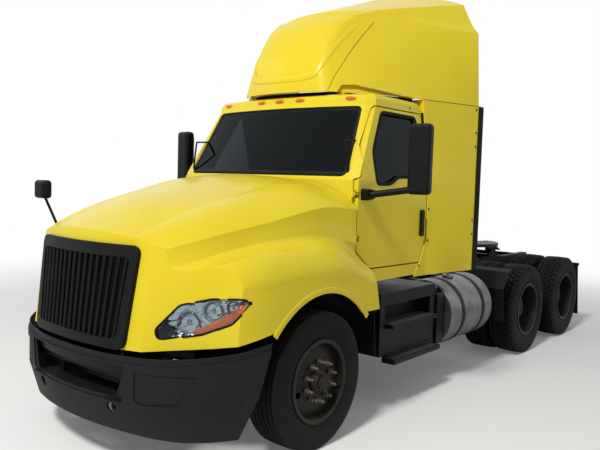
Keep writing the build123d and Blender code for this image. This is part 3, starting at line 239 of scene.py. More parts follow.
# pressed steel under zinc and road film: the nuts, studs and bolts
finishes["nut_steel"] = skin("zinc_plated_fasteners", "#4A4744", "#5A5550", (0.38, 0.55), 3, 0.05,
                             patch_mm=40, dust=0.45, dust_top=1.2, Metallic=0.7)
# vapour-coated aluminium on a moulded tray: bright, sharp, slightly uneven
finishes["reflector"] = skin("vapour_coated_reflector", "#D7DADD", "#C4C8CC", (0.06, 0.14), 12, 0.20,
                             patch_mm=60, Metallic=1.0)
finishes["lamp_clear_solid"] = skin("lamp_bulb_shield", "#B9BDC0", "#8E9398", (0.10, 0.20), 6, 0.05,
                                    Metallic=0.9)
finishes["mirror_silver"] = skin("silvered_mirror_glass", "#E4E7E8", "#DADEE0", (0.02, 0.05), 40, 0.01,
                                 patch_mm=200, Metallic=1.0)
finishes["cap_blue"] = skin("blue_moulded_cap", "#1E4E8C", "#255A9C", (0.40, 0.55), 3, 0.05, dust=0.2,
                            dust_top=1.3, IOR=1.49)
print(len(finishes), "finishes in all")

# %% [markdown]
# ## Dressing the solids
# The record says which finish each node takes. A node keeps its mesh, and only its material slot is filled.

# %% Give every node its finish
for row in frame["record"]["subparts"]:
    mesh = nodes[row["node"]].data
    mesh.materials.clear()
    mesh.materials.append(finishes[row["material_slot"]])

# %% [markdown]
# ## Surfaces from formulas
# The fine pieces are surfaces of two parameters, worked out as whole arrays and turned into a mesh in one go.
# Four small makers cover them all: a turned form, a section carried along a path, a rounded block, and a way
# to drop points onto a solid that is already there, so that trim lies on the skin and not near it. Building
# them in the axle's frame, where Y is 0 at the front axle, keeps the numbers short. The mesh step moves them
# to the shared frame.

# %% Mesh maker
MID = 2.325                       # the middle of the vehicle lies this far behind the front axle
BOTH = (("left", 1), ("right", -1))


def quads(nu, nv, wrap_u, wrap_v):
    """Corner numbers of all faces of a grid of nu by nv points, as one array."""
    i = np.arange(nu if wrap_u else nu - 1)[:, None]
    j = np.arange(nv if wrap_v else nv - 1)[None, :]
    i2, j2 = (i + 1) % nu, (j + 1) % nv
    return np.stack(np.broadcast_arrays(i * nv + j, i2 * nv + j, i2 * nv + j2, i * nv + j2), -1).reshape(-1,
                                                                                                         4)


def piece(name, body, finish, *grids, wrap=(False, True), sharp=40, stands_for=()):
    """One object from grids of points (..., nu, nv, 3), with copies as leading axes and poles merged shut."""
    points, faces, count = [], [], 0
    for grid in grids:
        copies = grid.reshape(-1, *grid.shape[-3:])
        size = copies.shape[1] * copies.shape[2]
        starts = count + np.arange(len(copies)) * size
        own = quads(copies.shape[1], copies.shape[2], *wrap)
        faces.append((own + starts[:, None, None]).reshape(-1, 4))
        points.append(copies.reshape(-1, 3))
        count += len(copies) * size
    points, faces = np.concatenate(points) - (0, MID, 0), np.concatenate(faces)
    mesh = bpy.data.meshes.new(name)
    mesh.vertices.add(count)
    mesh.vertices.foreach_set("co", points.ravel())
    mesh.loops.add(4 * len(faces))
    mesh.loops.foreach_set("vertex_index", faces.ravel())
    mesh.polygons.add(len(faces))
    mesh.polygons.foreach_set("loop_start", 4 * np.arange(len(faces)))
    mesh.update(calc_edges=True)
    tidy = bmesh.new()
    tidy.from_mesh(mesh)
    bmesh.ops.remove_doubles(tidy, verts=tidy.verts, dist=2e-6)
    bmesh.ops.recalc_face_normals(tidy, faces=tidy.faces)
    tidy.to_mesh(mesh)
    tidy.free()
    mesh.shade_smooth()
    mesh.set_sharp_from_angle(angle=radians(sharp))
    mesh.materials.append(finishes[finish])
    made = bpy.data.objects.new(name, mesh)
    bpy.context.scene.collection.objects.link(made)
    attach(made, body)
    if stands_for:
        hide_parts(*stands_for)
    return made


# %% Shape makers
def xyz(x, y, z):
    """Points from three arrays of coordinates, stretched to one shape."""
    return np.stack(np.broadcast_arrays(x, y, z), -1)


def unit(v):
    """Vectors of length one."""
    v = np.asarray(v, float)
    return v / np.linalg.norm(v, axis=-1, keepdims=True)


def basis(axis, hint=(0.0, 0.0, 1.0)):
    """Three unit vectors: along the axis and two across it."""
    a = unit(axis)
    across = unit(np.cross(hint, a))
    return np.array([a, across, np.cross(a, across)])


def lathe(profile, centre, axis=(1, 0, 0), count=48, hint=(0.0, 0.0, 1.0)):
    """Turned form: point(i, a) = centre + p_i axis + r_i (cos a, sin a) across it, for a profile of (p, r)."""
    p, r = np.asarray(profile, float).T
    a = np.arange(count) * 2 * pi / count
    local = xyz(p[:, None], r[:, None] * np.cos(a), r[:, None] * np.sin(a))
    return local @ basis(axis, hint) + centre


def bend(s, power):
    """A sine or cosine raised to a power with its sign kept."""
    return np.sign(s) * np.abs(s) ** power


def oval(half_w, half_h, count=12, power=0.5):
    """Superellipse outline: (w |cos|^p, h |sin|^p) with signs kept; power 1 is an ellipse, 0 a box."""
    a = (np.arange(count) + 0.5) * 2 * pi / count
    return np.stack([half_w * bend(np.cos(a), power), half_h * bend(np.sin(a), power)], -1)


def sweep(path, outline, up, closed=False):
    """An outline carried along a path: point(i, j) = path_i + o_j0 side_i + o_j1 lift_i, with closed ends."""
    path = np.asarray(path, float)
    up = np.broadcast_to(up, path.shape)
    ahead = np.roll(path, -1, 0) - np.roll(path, 1, 0) if closed else np.gradient(path, axis=0)
    side = unit(np.cross(ahead, up))
    lift = unit(np.cross(side, ahead))
    outline = np.broadcast_to(outline, (len(path), *np.shape(outline)[-2:]))
    grid = path[:, None] + outline[..., :1] * side[:, None] + outline[..., 1:] * lift[:, None]
    if closed:
        return np.concatenate([grid, grid[:1]])
    ends = [np.broadcast_to(ring.mean(0), ring.shape)[None] for ring in (grid[0], grid[-1])]
    return np.concatenate([ends[0], grid, ends[1]])


def pebble(centre, size, frame3=np.eye(3), power=0.35, nu=9, nv=16):
    """Rounded block: (a |cos u|^p |cos v|^p, b |cos u|^p |sin v|^p, c |sin u|^p), half sizes a, b, c."""
    u, v = np.linspace(-pi / 2, pi / 2, nu)[:, None], ((np.arange(nv) + 0.5) * 2 * pi / nv)[None]
    cu = bend(np.cos(u) * (np.abs(np.cos(u)) > 1e-9), power)
    local = xyz(cu * bend(np.cos(v), power), cu * bend(np.sin(v), power), bend(np.sin(u), power)) * size
    return local @ frame3 + np.asarray(centre, float)[..., None, None, :]


def curve(points, count):
    """Catmull-Rom curve: each span bends by the two points before and after it."""
    p = np.asarray(points, float)
    p = np.concatenate([2 * p[:1] - p[1:2], p, 2 * p[-1:] - p[-2:-1]])
    t = np.linspace(0, len(p) - 3, count)
    i = np.minimum(t.astype(int), len(p) - 4)
    f = (t - i)[:, None]
    a, b, c, d = p[i], p[i + 1], p[i + 2], p[i + 3]
    return 0.5 * (2 * b + (c - a) * f + (2 * a - 5 * b + 4 * c - d) * f ** 2
                  + (3 * b - a - 3 * c + d) * f ** 3)


def rounded(corners, radius, count):
    """Closed path of a polygon whose corners are quadratic bends, in even steps."""
    p = np.asarray(corners, float)
    before, after = p + unit(np.roll(p, 1, 0) - p) * radius, p + unit(np.roll(p, -1, 0) - p) * radius
    t = np.linspace(0, 1, 9)[None, :, None]
    bends = (1 - t) ** 2 * before[:, None] + 2 * t * (1 - t) * p[:, None] + t ** 2 * after[:, None]
    path = bends.reshape(-1, p.shape[1])
    loop = np.concatenate([path, path[:1]])
    run = np.concatenate([[0], np.cumsum(np.linalg.norm(np.diff(loop, axis=0), axis=1))])
    steps = np.linspace(0, run[-1], count, endpoint=False)
    return np.stack([np.interp(steps, run, loop[:, k]) for k in range(p.shape[1])], -1)


# %% Dropping points onto a solid
BATCH = 48                          # points tested at a time


def triangles(*names):
    """All triangles of some CAD nodes, (m, 3, 3), in the axle's frame."""
    found = []
    for name in names:
        mesh = nodes[name].data
        mesh.calc_loop_triangles()
        places = np.empty(3 * len(mesh.vertices))
        mesh.vertices.foreach_get("co", places)
        corners = np.empty(3 * len(mesh.loop_triangles), int)
        mesh.loop_triangles.foreach_get("vertices", corners)
        turn = np.array(nodes[name].matrix_world)
        places = places.reshape(-1, 3) @ turn[:3, :3].T + turn[:3, 3] + (0, MID, 0)
        found.append(places[corners].reshape(-1, 3, 3))
    return np.concatenate(found)


def lay(points, aim, names, lift=0.0):
    """Moves points along aim to the first face they meet (Moller-Trumbore on arrays) and lifts them off it.

    Gives the places and the outward normals. A point that meets nothing takes the nearest one's depth."""
    points, aim = np.asarray(points, float), unit(aim)
    flat = basis(aim, (0.31, 0.17, 0.93))[1:]
    tri = triangles(*names)
    shade, own = tri @ flat.T, points @ flat.T
    near = ((shade.max(1) > own.min(0) - 0.01) & (shade.min(1) < own.max(0) + 0.01)).all(1)
    a, e1, e2 = tri[near, 0], tri[near, 1] - tri[near, 0], tri[near, 2] - tri[near, 0]
    h = np.cross(aim, e2)
    det = (e1 * h).sum(1)
    det = np.where(np.abs(det) < 1e-14, np.inf, det)
    depth, face = np.empty(len(points)), np.zeros(len(points), int)
    for low in range(0, len(points), BATCH):
        s = points[low:low + BATCH, None] - a
        u, q = (s * h).sum(-1) / det, np.cross(s, e1)
        v, t = (q @ aim) / det, (q * e2).sum(-1) / det
        t = np.where((u > -1e-5) & (v > -1e-5) & (u + v < 1 + 1e-5) & (t > 0), t, np.inf)
        face[low:low + BATCH], depth[low:low + BATCH] = t.argmin(1), t.min(1)
    normals = unit(np.cross(e1, e2))[face]
    normals *= -np.sign(normals @ aim)[:, None]
    missed = np.where(~np.isfinite(depth))[0]
    met = np.where(np.isfinite(depth))[0]
    if len(missed):
        nearest = met[np.linalg.norm(own[missed][:, None] - own[met][None], axis=-1).argmin(1)]
        depth[missed], normals[missed] = depth[nearest], normals[nearest]
    return points + depth[:, None] * aim + normals * lift, normals


print("hood has", len(triangles("hood")), "triangles")

# %% [markdown]
# ## Tyres
# A tyre is one surface of two parameters: the way across its section and the way round the wheel. Tread is
# the same surface pushed inwards wherever a groove runs, so the blocks stay part of the casing, as they are
# in a mould. Steer tyres have plain ribs. Drive tyres have blocks in staggered rows with open shoulders.
# Sidewalls carry fine rings only.

# %% Tyre surface
BEAD, HALF_W = 0.292, 0.143
# half section from bead to crown: share of the half width, and height over the bead or drop from the crown
SIDE_WALL = ((0.78, 0.000), (0.86, 0.018), (0.90, 0.020), (0.94, 0.045), (0.955, 0.047), (0.985, 0.080),
             (1.0, 0.108), (0.995, 0.135))
SHOULDER = ((0.975, 0.062), (0.972, 0.054), (0.945, 0.034), (0.915, 0.020), (0.885, 0.010))


def tyre(centre_x, y, radius, ribs, pitches, block_gap, depth):
    """Casing and tread: r(s, a) = section(s) - depth * groove(s, a), with ribs as shares of the width."""
    walls = [(share, BEAD + rise) for share, rise in SIDE_WALL]
    walls += [(share, radius - drop) for share, drop in SHOULDER]
    edges = sorted({0.855, *[round(g + d, 4) for g in ribs for d in (-0.050, -0.040, 0.040, 0.050)
                             if g + d >= 0]}, reverse=True)
    crown = [(share, radius - 0.006 * share ** 2) for share in edges]
    half = np.array(walls + crown)
    half = half if 0 in ribs else np.vstack([half, [0.0, radius]])
    mirrored = half[::-1] if 0 in ribs else half[-2::-1]
    share, r = np.concatenate([half, mirrored * (-1, 1)]).T
    slopes = [0, 0.03, block_gap, block_gap + 0.03, 0.5, 0.53, 0.5 + block_gap, 0.53 + block_gap]
    marks = np.array(slopes if block_gap else [0, 0.5])
    phase = ((np.arange(pitches)[:, None] + marks) / pitches).ravel()
    a = phase * 2 * pi
    across = np.abs(share)[:, None]
    cut = np.zeros((len(share), len(a)))
    for g in ribs:
        cut = np.maximum(cut, (np.abs(across - g) < 0.045) & (across < 0.9))
    if block_gap:
        beat = (phase * pitches) % 1.0
        row = np.digitize(across, [0.22, 0.60]) % 2
        local = (beat[None] + 0.5 * row + 0.25 * (share[:, None] < 0)) % 1.0
        open_gap = (local > 0.015) & (local < block_gap + 0.015)
        cut = np.maximum(cut, open_gap & (across < 0.965) & (r[:, None] > radius - 0.040))
    r = r[:, None] - depth * cut
    ring = xyz(centre_x + share[:, None] * HALF_W, y + r * np.cos(a), radius + r * np.sin(a))
    inner = np.array([[0.70, BEAD], [-0.70, BEAD]])
    back = xyz(centre_x + inner[::-1, :1] * HALF_W, y + inner[:, 1:] * np.cos(a),
               radius + inner[:, 1:] * np.sin(a))
    return np.concatenate([ring, back, ring[:1]])


# %% Tyres on their wheels
STEER_X, STEER_R, DRIVE_R, DUAL_X, DUAL_GAP = 1.040, 0.507, 0.518, 1.065, 0.343
AXLES = (3.955, 5.275)
for side, sx in BOTH:
    grid = tyre(sx * STEER_X, 0.0, STEER_R, (0.13, 0.44, 0.72), 150, 0, 0.012)
    piece(f"steer_tyre_{side}_tread", f"steer_wheel_{side}", "tyre", grid, stands_for=[f"steer_tyre_{side}"],
          sharp=35)
    for number, axle_y in enumerate(AXLES, 1):
        twins = [tyre(sx * x, axle_y, DRIVE_R, (0.0, 0.24, 0.58), 46, 0.20, 0.016)
                 for x in (DUAL_X, DUAL_X - DUAL_GAP)]
        piece(f"drive_tyres_{number}_{side}_tread", f"drive_wheel_{number}_{side}", "tyre", *twins,
              stands_for=[f"drive_tyres_{number}_{side}"], sharp=35)
print("tyre grid", grid.shape)

# %% [markdown]
# ## Wheel nuts and hub caps
# Ten nuts hold each wheel. A nut is turned with six sides and a flange, and its long stud with a rolled
# thread, which is just a radius that rises and falls along the length. The oil cap of the steer hub has its
# ring of small bolts.

# %% Nuts, studs and hub bolts
def ring_of(count, pitch_r, x, y, z, turn=0.5):
    """Places of a bolt circle about an axle."""
    a = (np.arange(count) + turn) * 2 * pi / count
    return np.stack([np.full(count, x), y + pitch_r * np.cos(a), z + pitch_r * np.sin(a)], -1)


NUT_FACE, HUB_FACE, CAP_FACE = 0.112, 0.118, 0.166      # faces of the steer wheel, out from the tyre's middle
DUAL_NUT_FACE, SHAFT_FACE = 0.040, 0.208                # faces of the drive wheels, out from the twins' middle
BOLT_CIRCLE = 0.142875              # ten studs on a circle of 285.75 mm
NUT = [(0, 0), (0, 0.0235), (0.004, 0.0235), (0.006, 0.0190), (0.026, 0.0180), (0.029, 0.0150), (0.029, 0)]
THREAD = [(0.003 + 0.0024 * k, 0.011 - 0.0012 * (k % 2)) for k in range(13)]
STUD = [(0, 0), (0, 0.011), *THREAD, (0.036, 0.0085), (0.036, 0)]
SMALL_BOLT = [(0, 0), (0, 0.010), (0.006, 0.010), (0.0075, 0.0085), (0.0075, 0)]
CAP = [(0, 0), (0, 0.060), (0.004, 0.062), (0.007, 0.060), (0.009, 0.052), (0.010, 0.036), (0.016, 0.033),
       (0.018, 0.029), (0.0185, 0)]


def many(profile, places, axis, count):
    """The same turned form at many places."""
    return np.stack([lathe(profile, place, axis, count) for place in places])


for side, sx in BOTH:
    out = (sx, 0, 0)
    face = sx * (STEER_X + NUT_FACE)
    nut_places = ring_of(10, BOLT_CIRCLE, face, 0.0, STEER_R)
    piece(f"steer_nuts_{side}", f"steer_wheel_{side}", "nut_steel", many(NUT, nut_places, out, 6), sharp=30)
    piece(f"steer_studs_{side}", f"steer_wheel_{side}", "nut_steel",
          many(STUD, nut_places + (sx * 0.026, 0, 0), out, 12), sharp=30)
    cap = lathe(CAP, (sx * (STEER_X + CAP_FACE), 0, STEER_R), out, 40)
    hub_bolts = many(SMALL_BOLT, ring_of(6, 0.075, sx * (STEER_X + HUB_FACE), 0.0, STEER_R, 0.0), out, 6)
    piece(f"steer_hub_cap_{side}", f"steer_wheel_{side}", "cast_black", cap, sharp=30)
    piece(f"steer_hub_bolts_{side}", f"steer_wheel_{side}", "nut_steel", hub_bolts, sharp=30)
    for number, axle_y in enumerate(AXLES, 1):
        mid = DUAL_X - DUAL_GAP / 2
        places = ring_of(10, BOLT_CIRCLE, sx * (mid + DUAL_NUT_FACE), axle_y, DRIVE_R)
        piece(f"drive_nuts_{number}_{side}", f"drive_wheel_{number}_{side}", "nut_steel",
              many(NUT, places, out, 6), sharp=30)
        shaft_bolts = many(SMALL_BOLT, ring_of(8, 0.080, sx * (mid + SHAFT_FACE), axle_y, DRIVE_R), out, 6)
        piece(f"drive_shaft_bolts_{number}_{side}", f"drive_wheel_{number}_{side}", "nut_steel", shaft_bolts,
              sharp=30)
print("nuts", nut_places.shape)

# %% [markdown]
# ## Headlamps
# The lens is a clear sheet that goes on with the hood's own form, so its points are dropped onto the solid
# lens and the solid is then put away. Behind it lie a reflector tray with its bowls, an amber strip along the
# outer lower edge, a dark corner and a rubber seal round the whole opening. A grid in polar form, from a
# middle point out to the outline, follows any outline that can be seen whole from that point.

# %% Headlamp surfaces
LAMP = np.array([(-291, 929), (-303, 982), (-151, 1140), (58, 1188), (254, 1192), (310, 1167), (187, 1033),
                 (-3, 960), (-260, 923)]) * MM


def lamp_frame(sx):
    """Origin, across and outward directions of a headlamp's plane."""
    origin, across = np.array([sx * 0.930, -0.920, 0.0]), np.array([sx * 0.776, 0.631, 0.0])
    return origin, across, np.array([sx * 0.631, -0.776, 0.0])


def lamp_points(flat, sx, depth):
    """Points (u, z) of the lamp's plane in space, pushed in from its skin by depth."""
    origin, across, out = lamp_frame(sx)
    shape = flat.shape[:-1]
    flat = flat.reshape(-1, 2)
    above = origin + flat[:, :1] * across + np.array([0, 0, 1.0]) * flat[:, 1:] + 0.5 * out
    skin_points, _ = lay(above, -out, ["headlamps"])
    return skin_points.reshape(*shape, 3) - out * np.asarray(depth)[..., None]


def fan(outline, middle, steps):
    """Polar grid of an outline: middle + s (outline - middle), for s in steps."""
    s = np.asarray(steps)[:, None, None]
    return middle + s * (outline - middle)


TRAY_DEPTHS = np.array([0.006, 0.030, 0.050, 0.058, 0.060, 0.060, 0.060, 0.060])
DARK_CORNER = np.array([(-0.276, 0.940), (-0.286, 0.978), (-0.240, 1.020), (-0.150, 0.955)])
CORNER_MID = np.array([-0.245, 0.965])
edge_line = rounded(LAMP, 0.022, 96)
heart = np.array([-0.02, 1.065])
inset_line = heart + (edge_line - heart) * 0.965
for side, sx in BOTH:
    shell = fan(inset_line, heart, (0, 0.3, 0.6, 0.85, 0.97, 1.0))
    shell = np.concatenate([shell, shell[::-1]])
    cover = lamp_points(shell, sx, np.repeat([[0.001], [0.005]], 6, 0))
    piece(f"lamp_cover_{side}", "hood", "lamp_clear", cover, stands_for=["headlamps"])
    rim_line = lamp_points(edge_line, sx, 0.0)
    _, rim_up = lay(rim_line + 0.5 * lamp_frame(sx)[2], -lamp_frame(sx)[2], ["headlamps"])
    ring = sweep(rim_line, oval(0.0065, 0.003, 10), rim_up, closed=True)
    piece(f"lamp_seal_{side}", "hood", "edge_rubber", ring)
    # tray: out along a wall, then a floor whose facets rise and fall
    tray = fan(inset_line, heart, (1.0, 0.985, 0.94, 0.8, 0.6, 0.4, 0.2, 0.0))
    wave = 0.006 * np.cos(40 * tray[..., 0] * 2) * np.cos(55 * tray[..., 1])
    depth = TRAY_DEPTHS[:, None] + wave * (np.arange(8) > 2)[:, None]
    back = fan(inset_line, heart, (0.0, 1.0))
    tray = np.concatenate([lamp_points(tray, sx, depth), lamp_points(back, sx, np.array([[0.075], [0.075]])),
                           lamp_points(inset_line, sx, 0.006)[None]])
    piece(f"lamp_tray_{side}", "hood", "reflector", tray, sharp=20)
    # bowls: deep parabolas with fine radial facets, bulb shields in the middle
    out = lamp_frame(sx)[2]
    for name, u, z, radius in (("main", -0.095, 1.025, 0.072), ("dip", 0.060, 1.100, 0.064),
                               ("turn", 0.185, 1.130, 0.040)):
        foot = lamp_points(np.array([[u, z]]), sx, np.array([0.052]))[0]
        bowl = [(-0.030 + 0.045 * t ** 2, radius * t) for t in np.linspace(1, 0, 8)]
        bowl += [(-0.036, 0.0), (-0.036, radius), (0.012, radius * 1.05), (0.0152, radius)]
        grid = lathe(bowl[::-1], foot, out, 48)
        piece(f"lamp_bowl_{name}_{side}", "hood", "reflector", grid, sharp=25)
        bulb = [(-0.028, 0), (-0.028, radius * 0.22), (-0.004, radius * 0.24), (0.004, radius * 0.17),
                (0.006, 0)]
        piece(f"lamp_bulb_{name}_{side}", "hood", "lamp_clear_solid", lathe(bulb, foot, out, 24))
    strip_line = curve(np.array([(0.272, 1.158), (0.200, 1.090), (0.110, 1.032), (0.020, 0.992),
                                 (-0.060, 0.968)]), 40)
    width = np.interp(np.linspace(0, 1, 40), [0, 0.18, 0.6, 1], [0.006, 0.026, 0.030, 0.014])
    place = lamp_points(strip_line, sx, np.full(40, 0.010))
    amber = sweep(place, np.stack([oval(w, 0.004, 12) for w in width]), out)
    piece(f"lamp_amber_strip_{side}", "hood", "lamp_amber", amber)
    corner = fan(rounded(DARK_CORNER, 0.010, 32), CORNER_MID, (0, 0.5, 1.0))
    corner = np.concatenate([corner, corner[::-1]])
    piece(f"lamp_dark_corner_{side}", "hood", "black_trim",
          lamp_points(corner, sx, np.repeat([[0.007], [0.014]], 3, 0)))
print("lamp grids", tray.shape)

# %% [markdown]
# ## Black borders and rubber round the glass
# Glued glass has a black baked border that hides the glue, and rubber lips where it meets the body. Both are
# narrow bands that follow a closed path, and the path is dropped onto the glass so that it bends with it.

# %% Window borders
SCREEN = np.array([(-0.918, 2.004), (0.918, 2.004), (0.836, 2.575), (-0.836, 2.575)])
PANE = np.array([(0.872, 1.940), (1.075, 1.940), (1.215, 2.005), (1.612, 2.012), (1.600, 2.542),
                 (1.035, 2.542), (0.850, 2.205)])


def on_front(path, lift):
    """A path (x, z) dropped onto the windscreen from ahead."""
    start = np.stack([path[:, 0], np.full(len(path), -0.2), path[:, 1]], -1)
    return lay(start, (0, 1, 0), ["cab_glass"], lift)


def on_side(path, sx, names, lift, reach=1.6):
    """A path (y, z) dropped onto the cab's side from outside."""
    start = np.stack([np.full(len(path), sx * reach), path[:, 0], path[:, 1]], -1)
    return lay(start, (-sx, 0, 0), names, lift)


band, up = on_front(rounded(SCREEN, 0.05, 220), 0.0012)
piece("windscreen_border", "chassis", "black_trim", sweep(band, oval(0.026, 0.0014, 10), up, closed=True))
lip, up = on_front(rounded(SCREEN * (1.012, 1), 0.055, 220), 0.002)
piece("windscreen_rubber", "chassis", "edge_rubber", sweep(lip, oval(0.011, 0.006, 10), up, closed=True))
for side, sx in BOTH:
    band, up = on_side(rounded(PANE, 0.045, 160), sx, [f"door_{side}", f"door_glass_{side}"], 0.001)
    up = np.tile([sx * 0.98, 0, 0.17], (len(band), 1))
    band[:, 0] = sx * np.interp(band[:, 2], [1.9, 1.965, 2.6], [1.030, 1.030, 0.934])
    piece(f"door_rubber_{side}", f"door_{side}", "edge_rubber",
          sweep(band, oval(0.016, 0.0045, 10), up, closed=True))
print("borders", band.shape)

# %% [markdown]
# ## Seals, liners, guides and painted shade in the gaps
# Thin near-black shells close the body's gaps, and they are painted shade where the gaps show only shade. A
# foam seal under the fairing, a moulded liner over each front wheel and an air guide under the radiator are
# real parts that also stand in for the shade in their gaps; a strip along the bumper's top is painted shade
# only.
# Each is one thin closed shell, a sheet of two parameters doubled back on itself, so it has a thickness and no
# open edge.

# %% Liners and seals
def sheet_piece(name, body, grid, offset):
    """A thin shell of dark trim: the sheet out and, moved by offset, back in u, with its side edges shut."""
    both = np.concatenate([grid, (grid + offset)[::-1], grid[:1]])
    mids = [(grid[:, k] + 0.5 * np.asarray(offset)) for k in (0, -1)]
    first, last = [np.concatenate([m, m[::-1], m[:1]])[:, None] for m in mids]
    return piece(name, body, "black_trim", np.concatenate([first, both, last], 1), wrap=(False, False))


# painted shade as well as a seal: a dark band along the fairing's base, where the gap under the fairing shows
# only shade
seal_line = curve([(-0.86, 1.66, 2.712), (-0.655, 1.22, 2.712), (-0.45, 0.985, 2.712), (-0.30, 0.915, 2.712),
                   (0, 0.895, 2.712), (0.30, 0.915, 2.712), (0.45, 0.985, 2.712), (0.655, 1.22, 2.712),
                   (0.86, 1.66, 2.712)], 90)
piece("fairing_seal_and_shade", "chassis", "edge_rubber", sweep(seal_line, oval(0.014, 0.020, 12), (0, 0, 1)))

# painted shade: a near-black strip along the bumper's top, where the gap between hood and bumper shows only
# shade
BUMPER_LINE = np.array([(0, -1.300), (0.30, -1.281), (0.60, -1.222), (0.82, -1.125), (0.985, -1.010),
                        (1.085, -0.885), (1.150, -0.740)])
left_line = curve(BUMPER_LINE, 60)
plan = np.concatenate([left_line[::-1] * (-1, 1), left_line[1:]])
tangent = unit(np.gradient(plan, axis=0))
inward = np.stack([-tangent[:, 1], tangent[:, 0]], -1)
inward *= np.sign((inward * ((0, 0.3) - plan)).sum(1))[:, None]
top_z = np.interp(plan[:, 1], [-1.40, -1.25, -0.56, -0.30], [0.800, 0.796, 0.872, 0.880])
rows = ((0.020, -0.008), (0.034, -0.030), (0.040, -0.075), (0.044, -0.120))
bumper_gap_shade = np.stack([np.concatenate([plan + inward * inset, (top_z + drop)[:, None]], 1)
                   for inset, drop in rows])
sheet_piece("bumper_gap_painted_shade", "chassis", bumper_gap_shade, (0, 0, -0.003))

# painted shade as well as liners: the near-black liners darken the inside of each front wheel arch
LINER_R, ARCH_Z = 0.632, 0.505      # the liner's curve and its middle over the front axle
turn = np.radians(np.linspace(12, 135, 42))[:, None]
reach = np.linspace(0.50, 1.105, 7)[None]
for side, sx in BOTH:
    liner = xyz(sx * reach, -LINER_R * np.cos(turn), ARCH_Z + LINER_R * np.sin(turn))
    sheet_piece(f"wheel_liner_and_shade_{side}", "hood", liner, (0, 0, 0.003))

# painted shade as well as a guide: a near-black sheet closes the view down through the bumper's opening
k = np.linspace(0, 1, 14)[:, None]
guide_y = np.interp(k, [0, 0.6, 1], [-1.258, -1.02, -0.96])
guide_z = np.interp(k, [0, 0.6, 1], [0.508, 0.496, 0.620])
guide = xyz(np.linspace(-0.52, 0.52, 9)[None], guide_y, guide_z)
sheet_piece("lower_air_guide_and_shade", "chassis", guide, (0, 0, -0.003))

# insect screen behind the bars, bowed like the hood's front, with a fine wave in both directions
across, height = np.meshgrid(np.linspace(-0.50, 0.50, 120), np.linspace(0.880, 1.440, 70))
lean = (height - 0.700) / 1.500
screen_y = -1.272 + 0.141 * lean + (0.076 + 0.048 * lean) * (across / 0.640) ** 2 + 0.022
screen_y += 0.0015 * np.cos(across * 2 * pi / 0.018) * np.cos(height * 2 * pi / 0.018)
trim = 0.90 + 0.10 * (height - 0.880) / 0.56
sheet_piece("insect_screen", "hood", np.stack([across * trim, screen_y, height], -1), (0, 0.003, 0))
print("seals and liners made")

# %% [markdown]
# ## Trim on the skin
# Seams, bolts, lamps and lips lie on the painted skin. Each path is given as seen from the side or the front,
# and is dropped onto the solid behind it, so that the trim follows every bend without being drawn twice.

# %% Seams and lips
def seam(name, path, normals, half_width, height):
    """A dark line along a joint between two panels."""
    return piece(name, "chassis", "edge_rubber", sweep(path, oval(half_width, height, 8), normals))


LIP_R = 0.668                       # the rolled lip of the wheel arch
SEAM = np.array([(0.875, 2.735), (0.945, 2.858), (1.028, 2.972), (1.145, 3.119), (1.278, 3.263),
                 (1.430, 3.415)])
for side, sx in BOTH:
    line, up = on_side(curve(SEAM, 70), sx, ["roof_fairing"], 0.0002)
    seam(f"fairing_seam_{side}", line, up, 0.0022, 0.0008)
    # rolled lip round the wheel arch
    a = np.radians(np.linspace(38, 142, 90))
    arch = np.stack([-LIP_R * np.cos(a), ARCH_Z + LIP_R * np.sin(a)], -1)
    line, up = on_side(arch, sx, ["hood"], 0.0)
    piece(f"arch_lip_{side}", "hood", "fairing_paint", sweep(line, oval(0.022, 0.006, 12), up))
    # seam between the fairing and the extender under it
    line, up = on_side(np.stack([np.linspace(1.735, 2.435, 30), np.full(30, 2.7200)], -1), sx,
                       ["roof_fairing", "side_extenders"], 0.0002)
    line[:, 2] = 2.7258
    seam(f"extender_seam_{side}", line, up, 0.0022, 0.0010)
print("seams", line.shape)

# %% Bolts on the body
BOLTS = [(1.515, 2.626), (2.409, 2.690), (2.418, 2.467), (2.418, 2.330), (1.738, 1.722), (1.737, 1.429),
         (2.415, 1.606), (2.415, 1.469), (1.600, 1.205)]
BODY_BOLT = [(0, 0), (0, 0.012), (0.002, 0.012), (0.003, 0.008), (0.006, 0.0075), (0.008, 0.005), (0.008, 0)]
for side, sx in BOTH:
    spots, up = on_side(np.array(BOLTS), sx, ["side_extenders", "cab_shell", f"door_{side}", "roof_fairing"],
                        0.0)
    heads = np.stack([lathe(BODY_BOLT, spot, n, 12) for spot, n in zip(spots, up)])
    piece(f"extender_bolts_{side}", "chassis", "nut_steel", heads, sharp=30)
print("bolts", heads.shape)

# %% Roof marker lamps
lamp_x = np.array([-0.730, -0.230, 0, 0.230, 0.730])
lamp_y = 0.800 + 0.112 * (lamp_x / 0.868) ** 2 + 0.004
lean = 2 * 0.112 * lamp_x / 0.868 ** 2
lenses, bases = [], []
for x, y, slope in zip(lamp_x, lamp_y, lean):
    along = unit((1, slope, 0))
    axes3 = np.array([along, (0, 0, 1), np.cross(along, (0, 0, 1))])
    lenses.append(pebble((x, y - 0.004, 2.656), (0.046, 0.0135, 0.014), axes3, power=0.75, nu=13, nv=32))
    bases.append(pebble((x, y + 0.004, 2.656), (0.054, 0.0185, 0.008), axes3, power=0.6, nu=9, nv=32))
piece("marker_lenses", "chassis", "lamp_amber", np.stack(lenses), stands_for=["marker_lamps"])
piece("marker_bases", "chassis", "fairing_paint", np.stack(bases))
print("marker lamps", len(lenses))

# %% [markdown]
# ## Inside the cab
# Air-sprung seats stand on folded rubber bellows. Cushion, back and head rest are foam under woven cloth:
# crowned, with raised sides, pulled in along their seams.

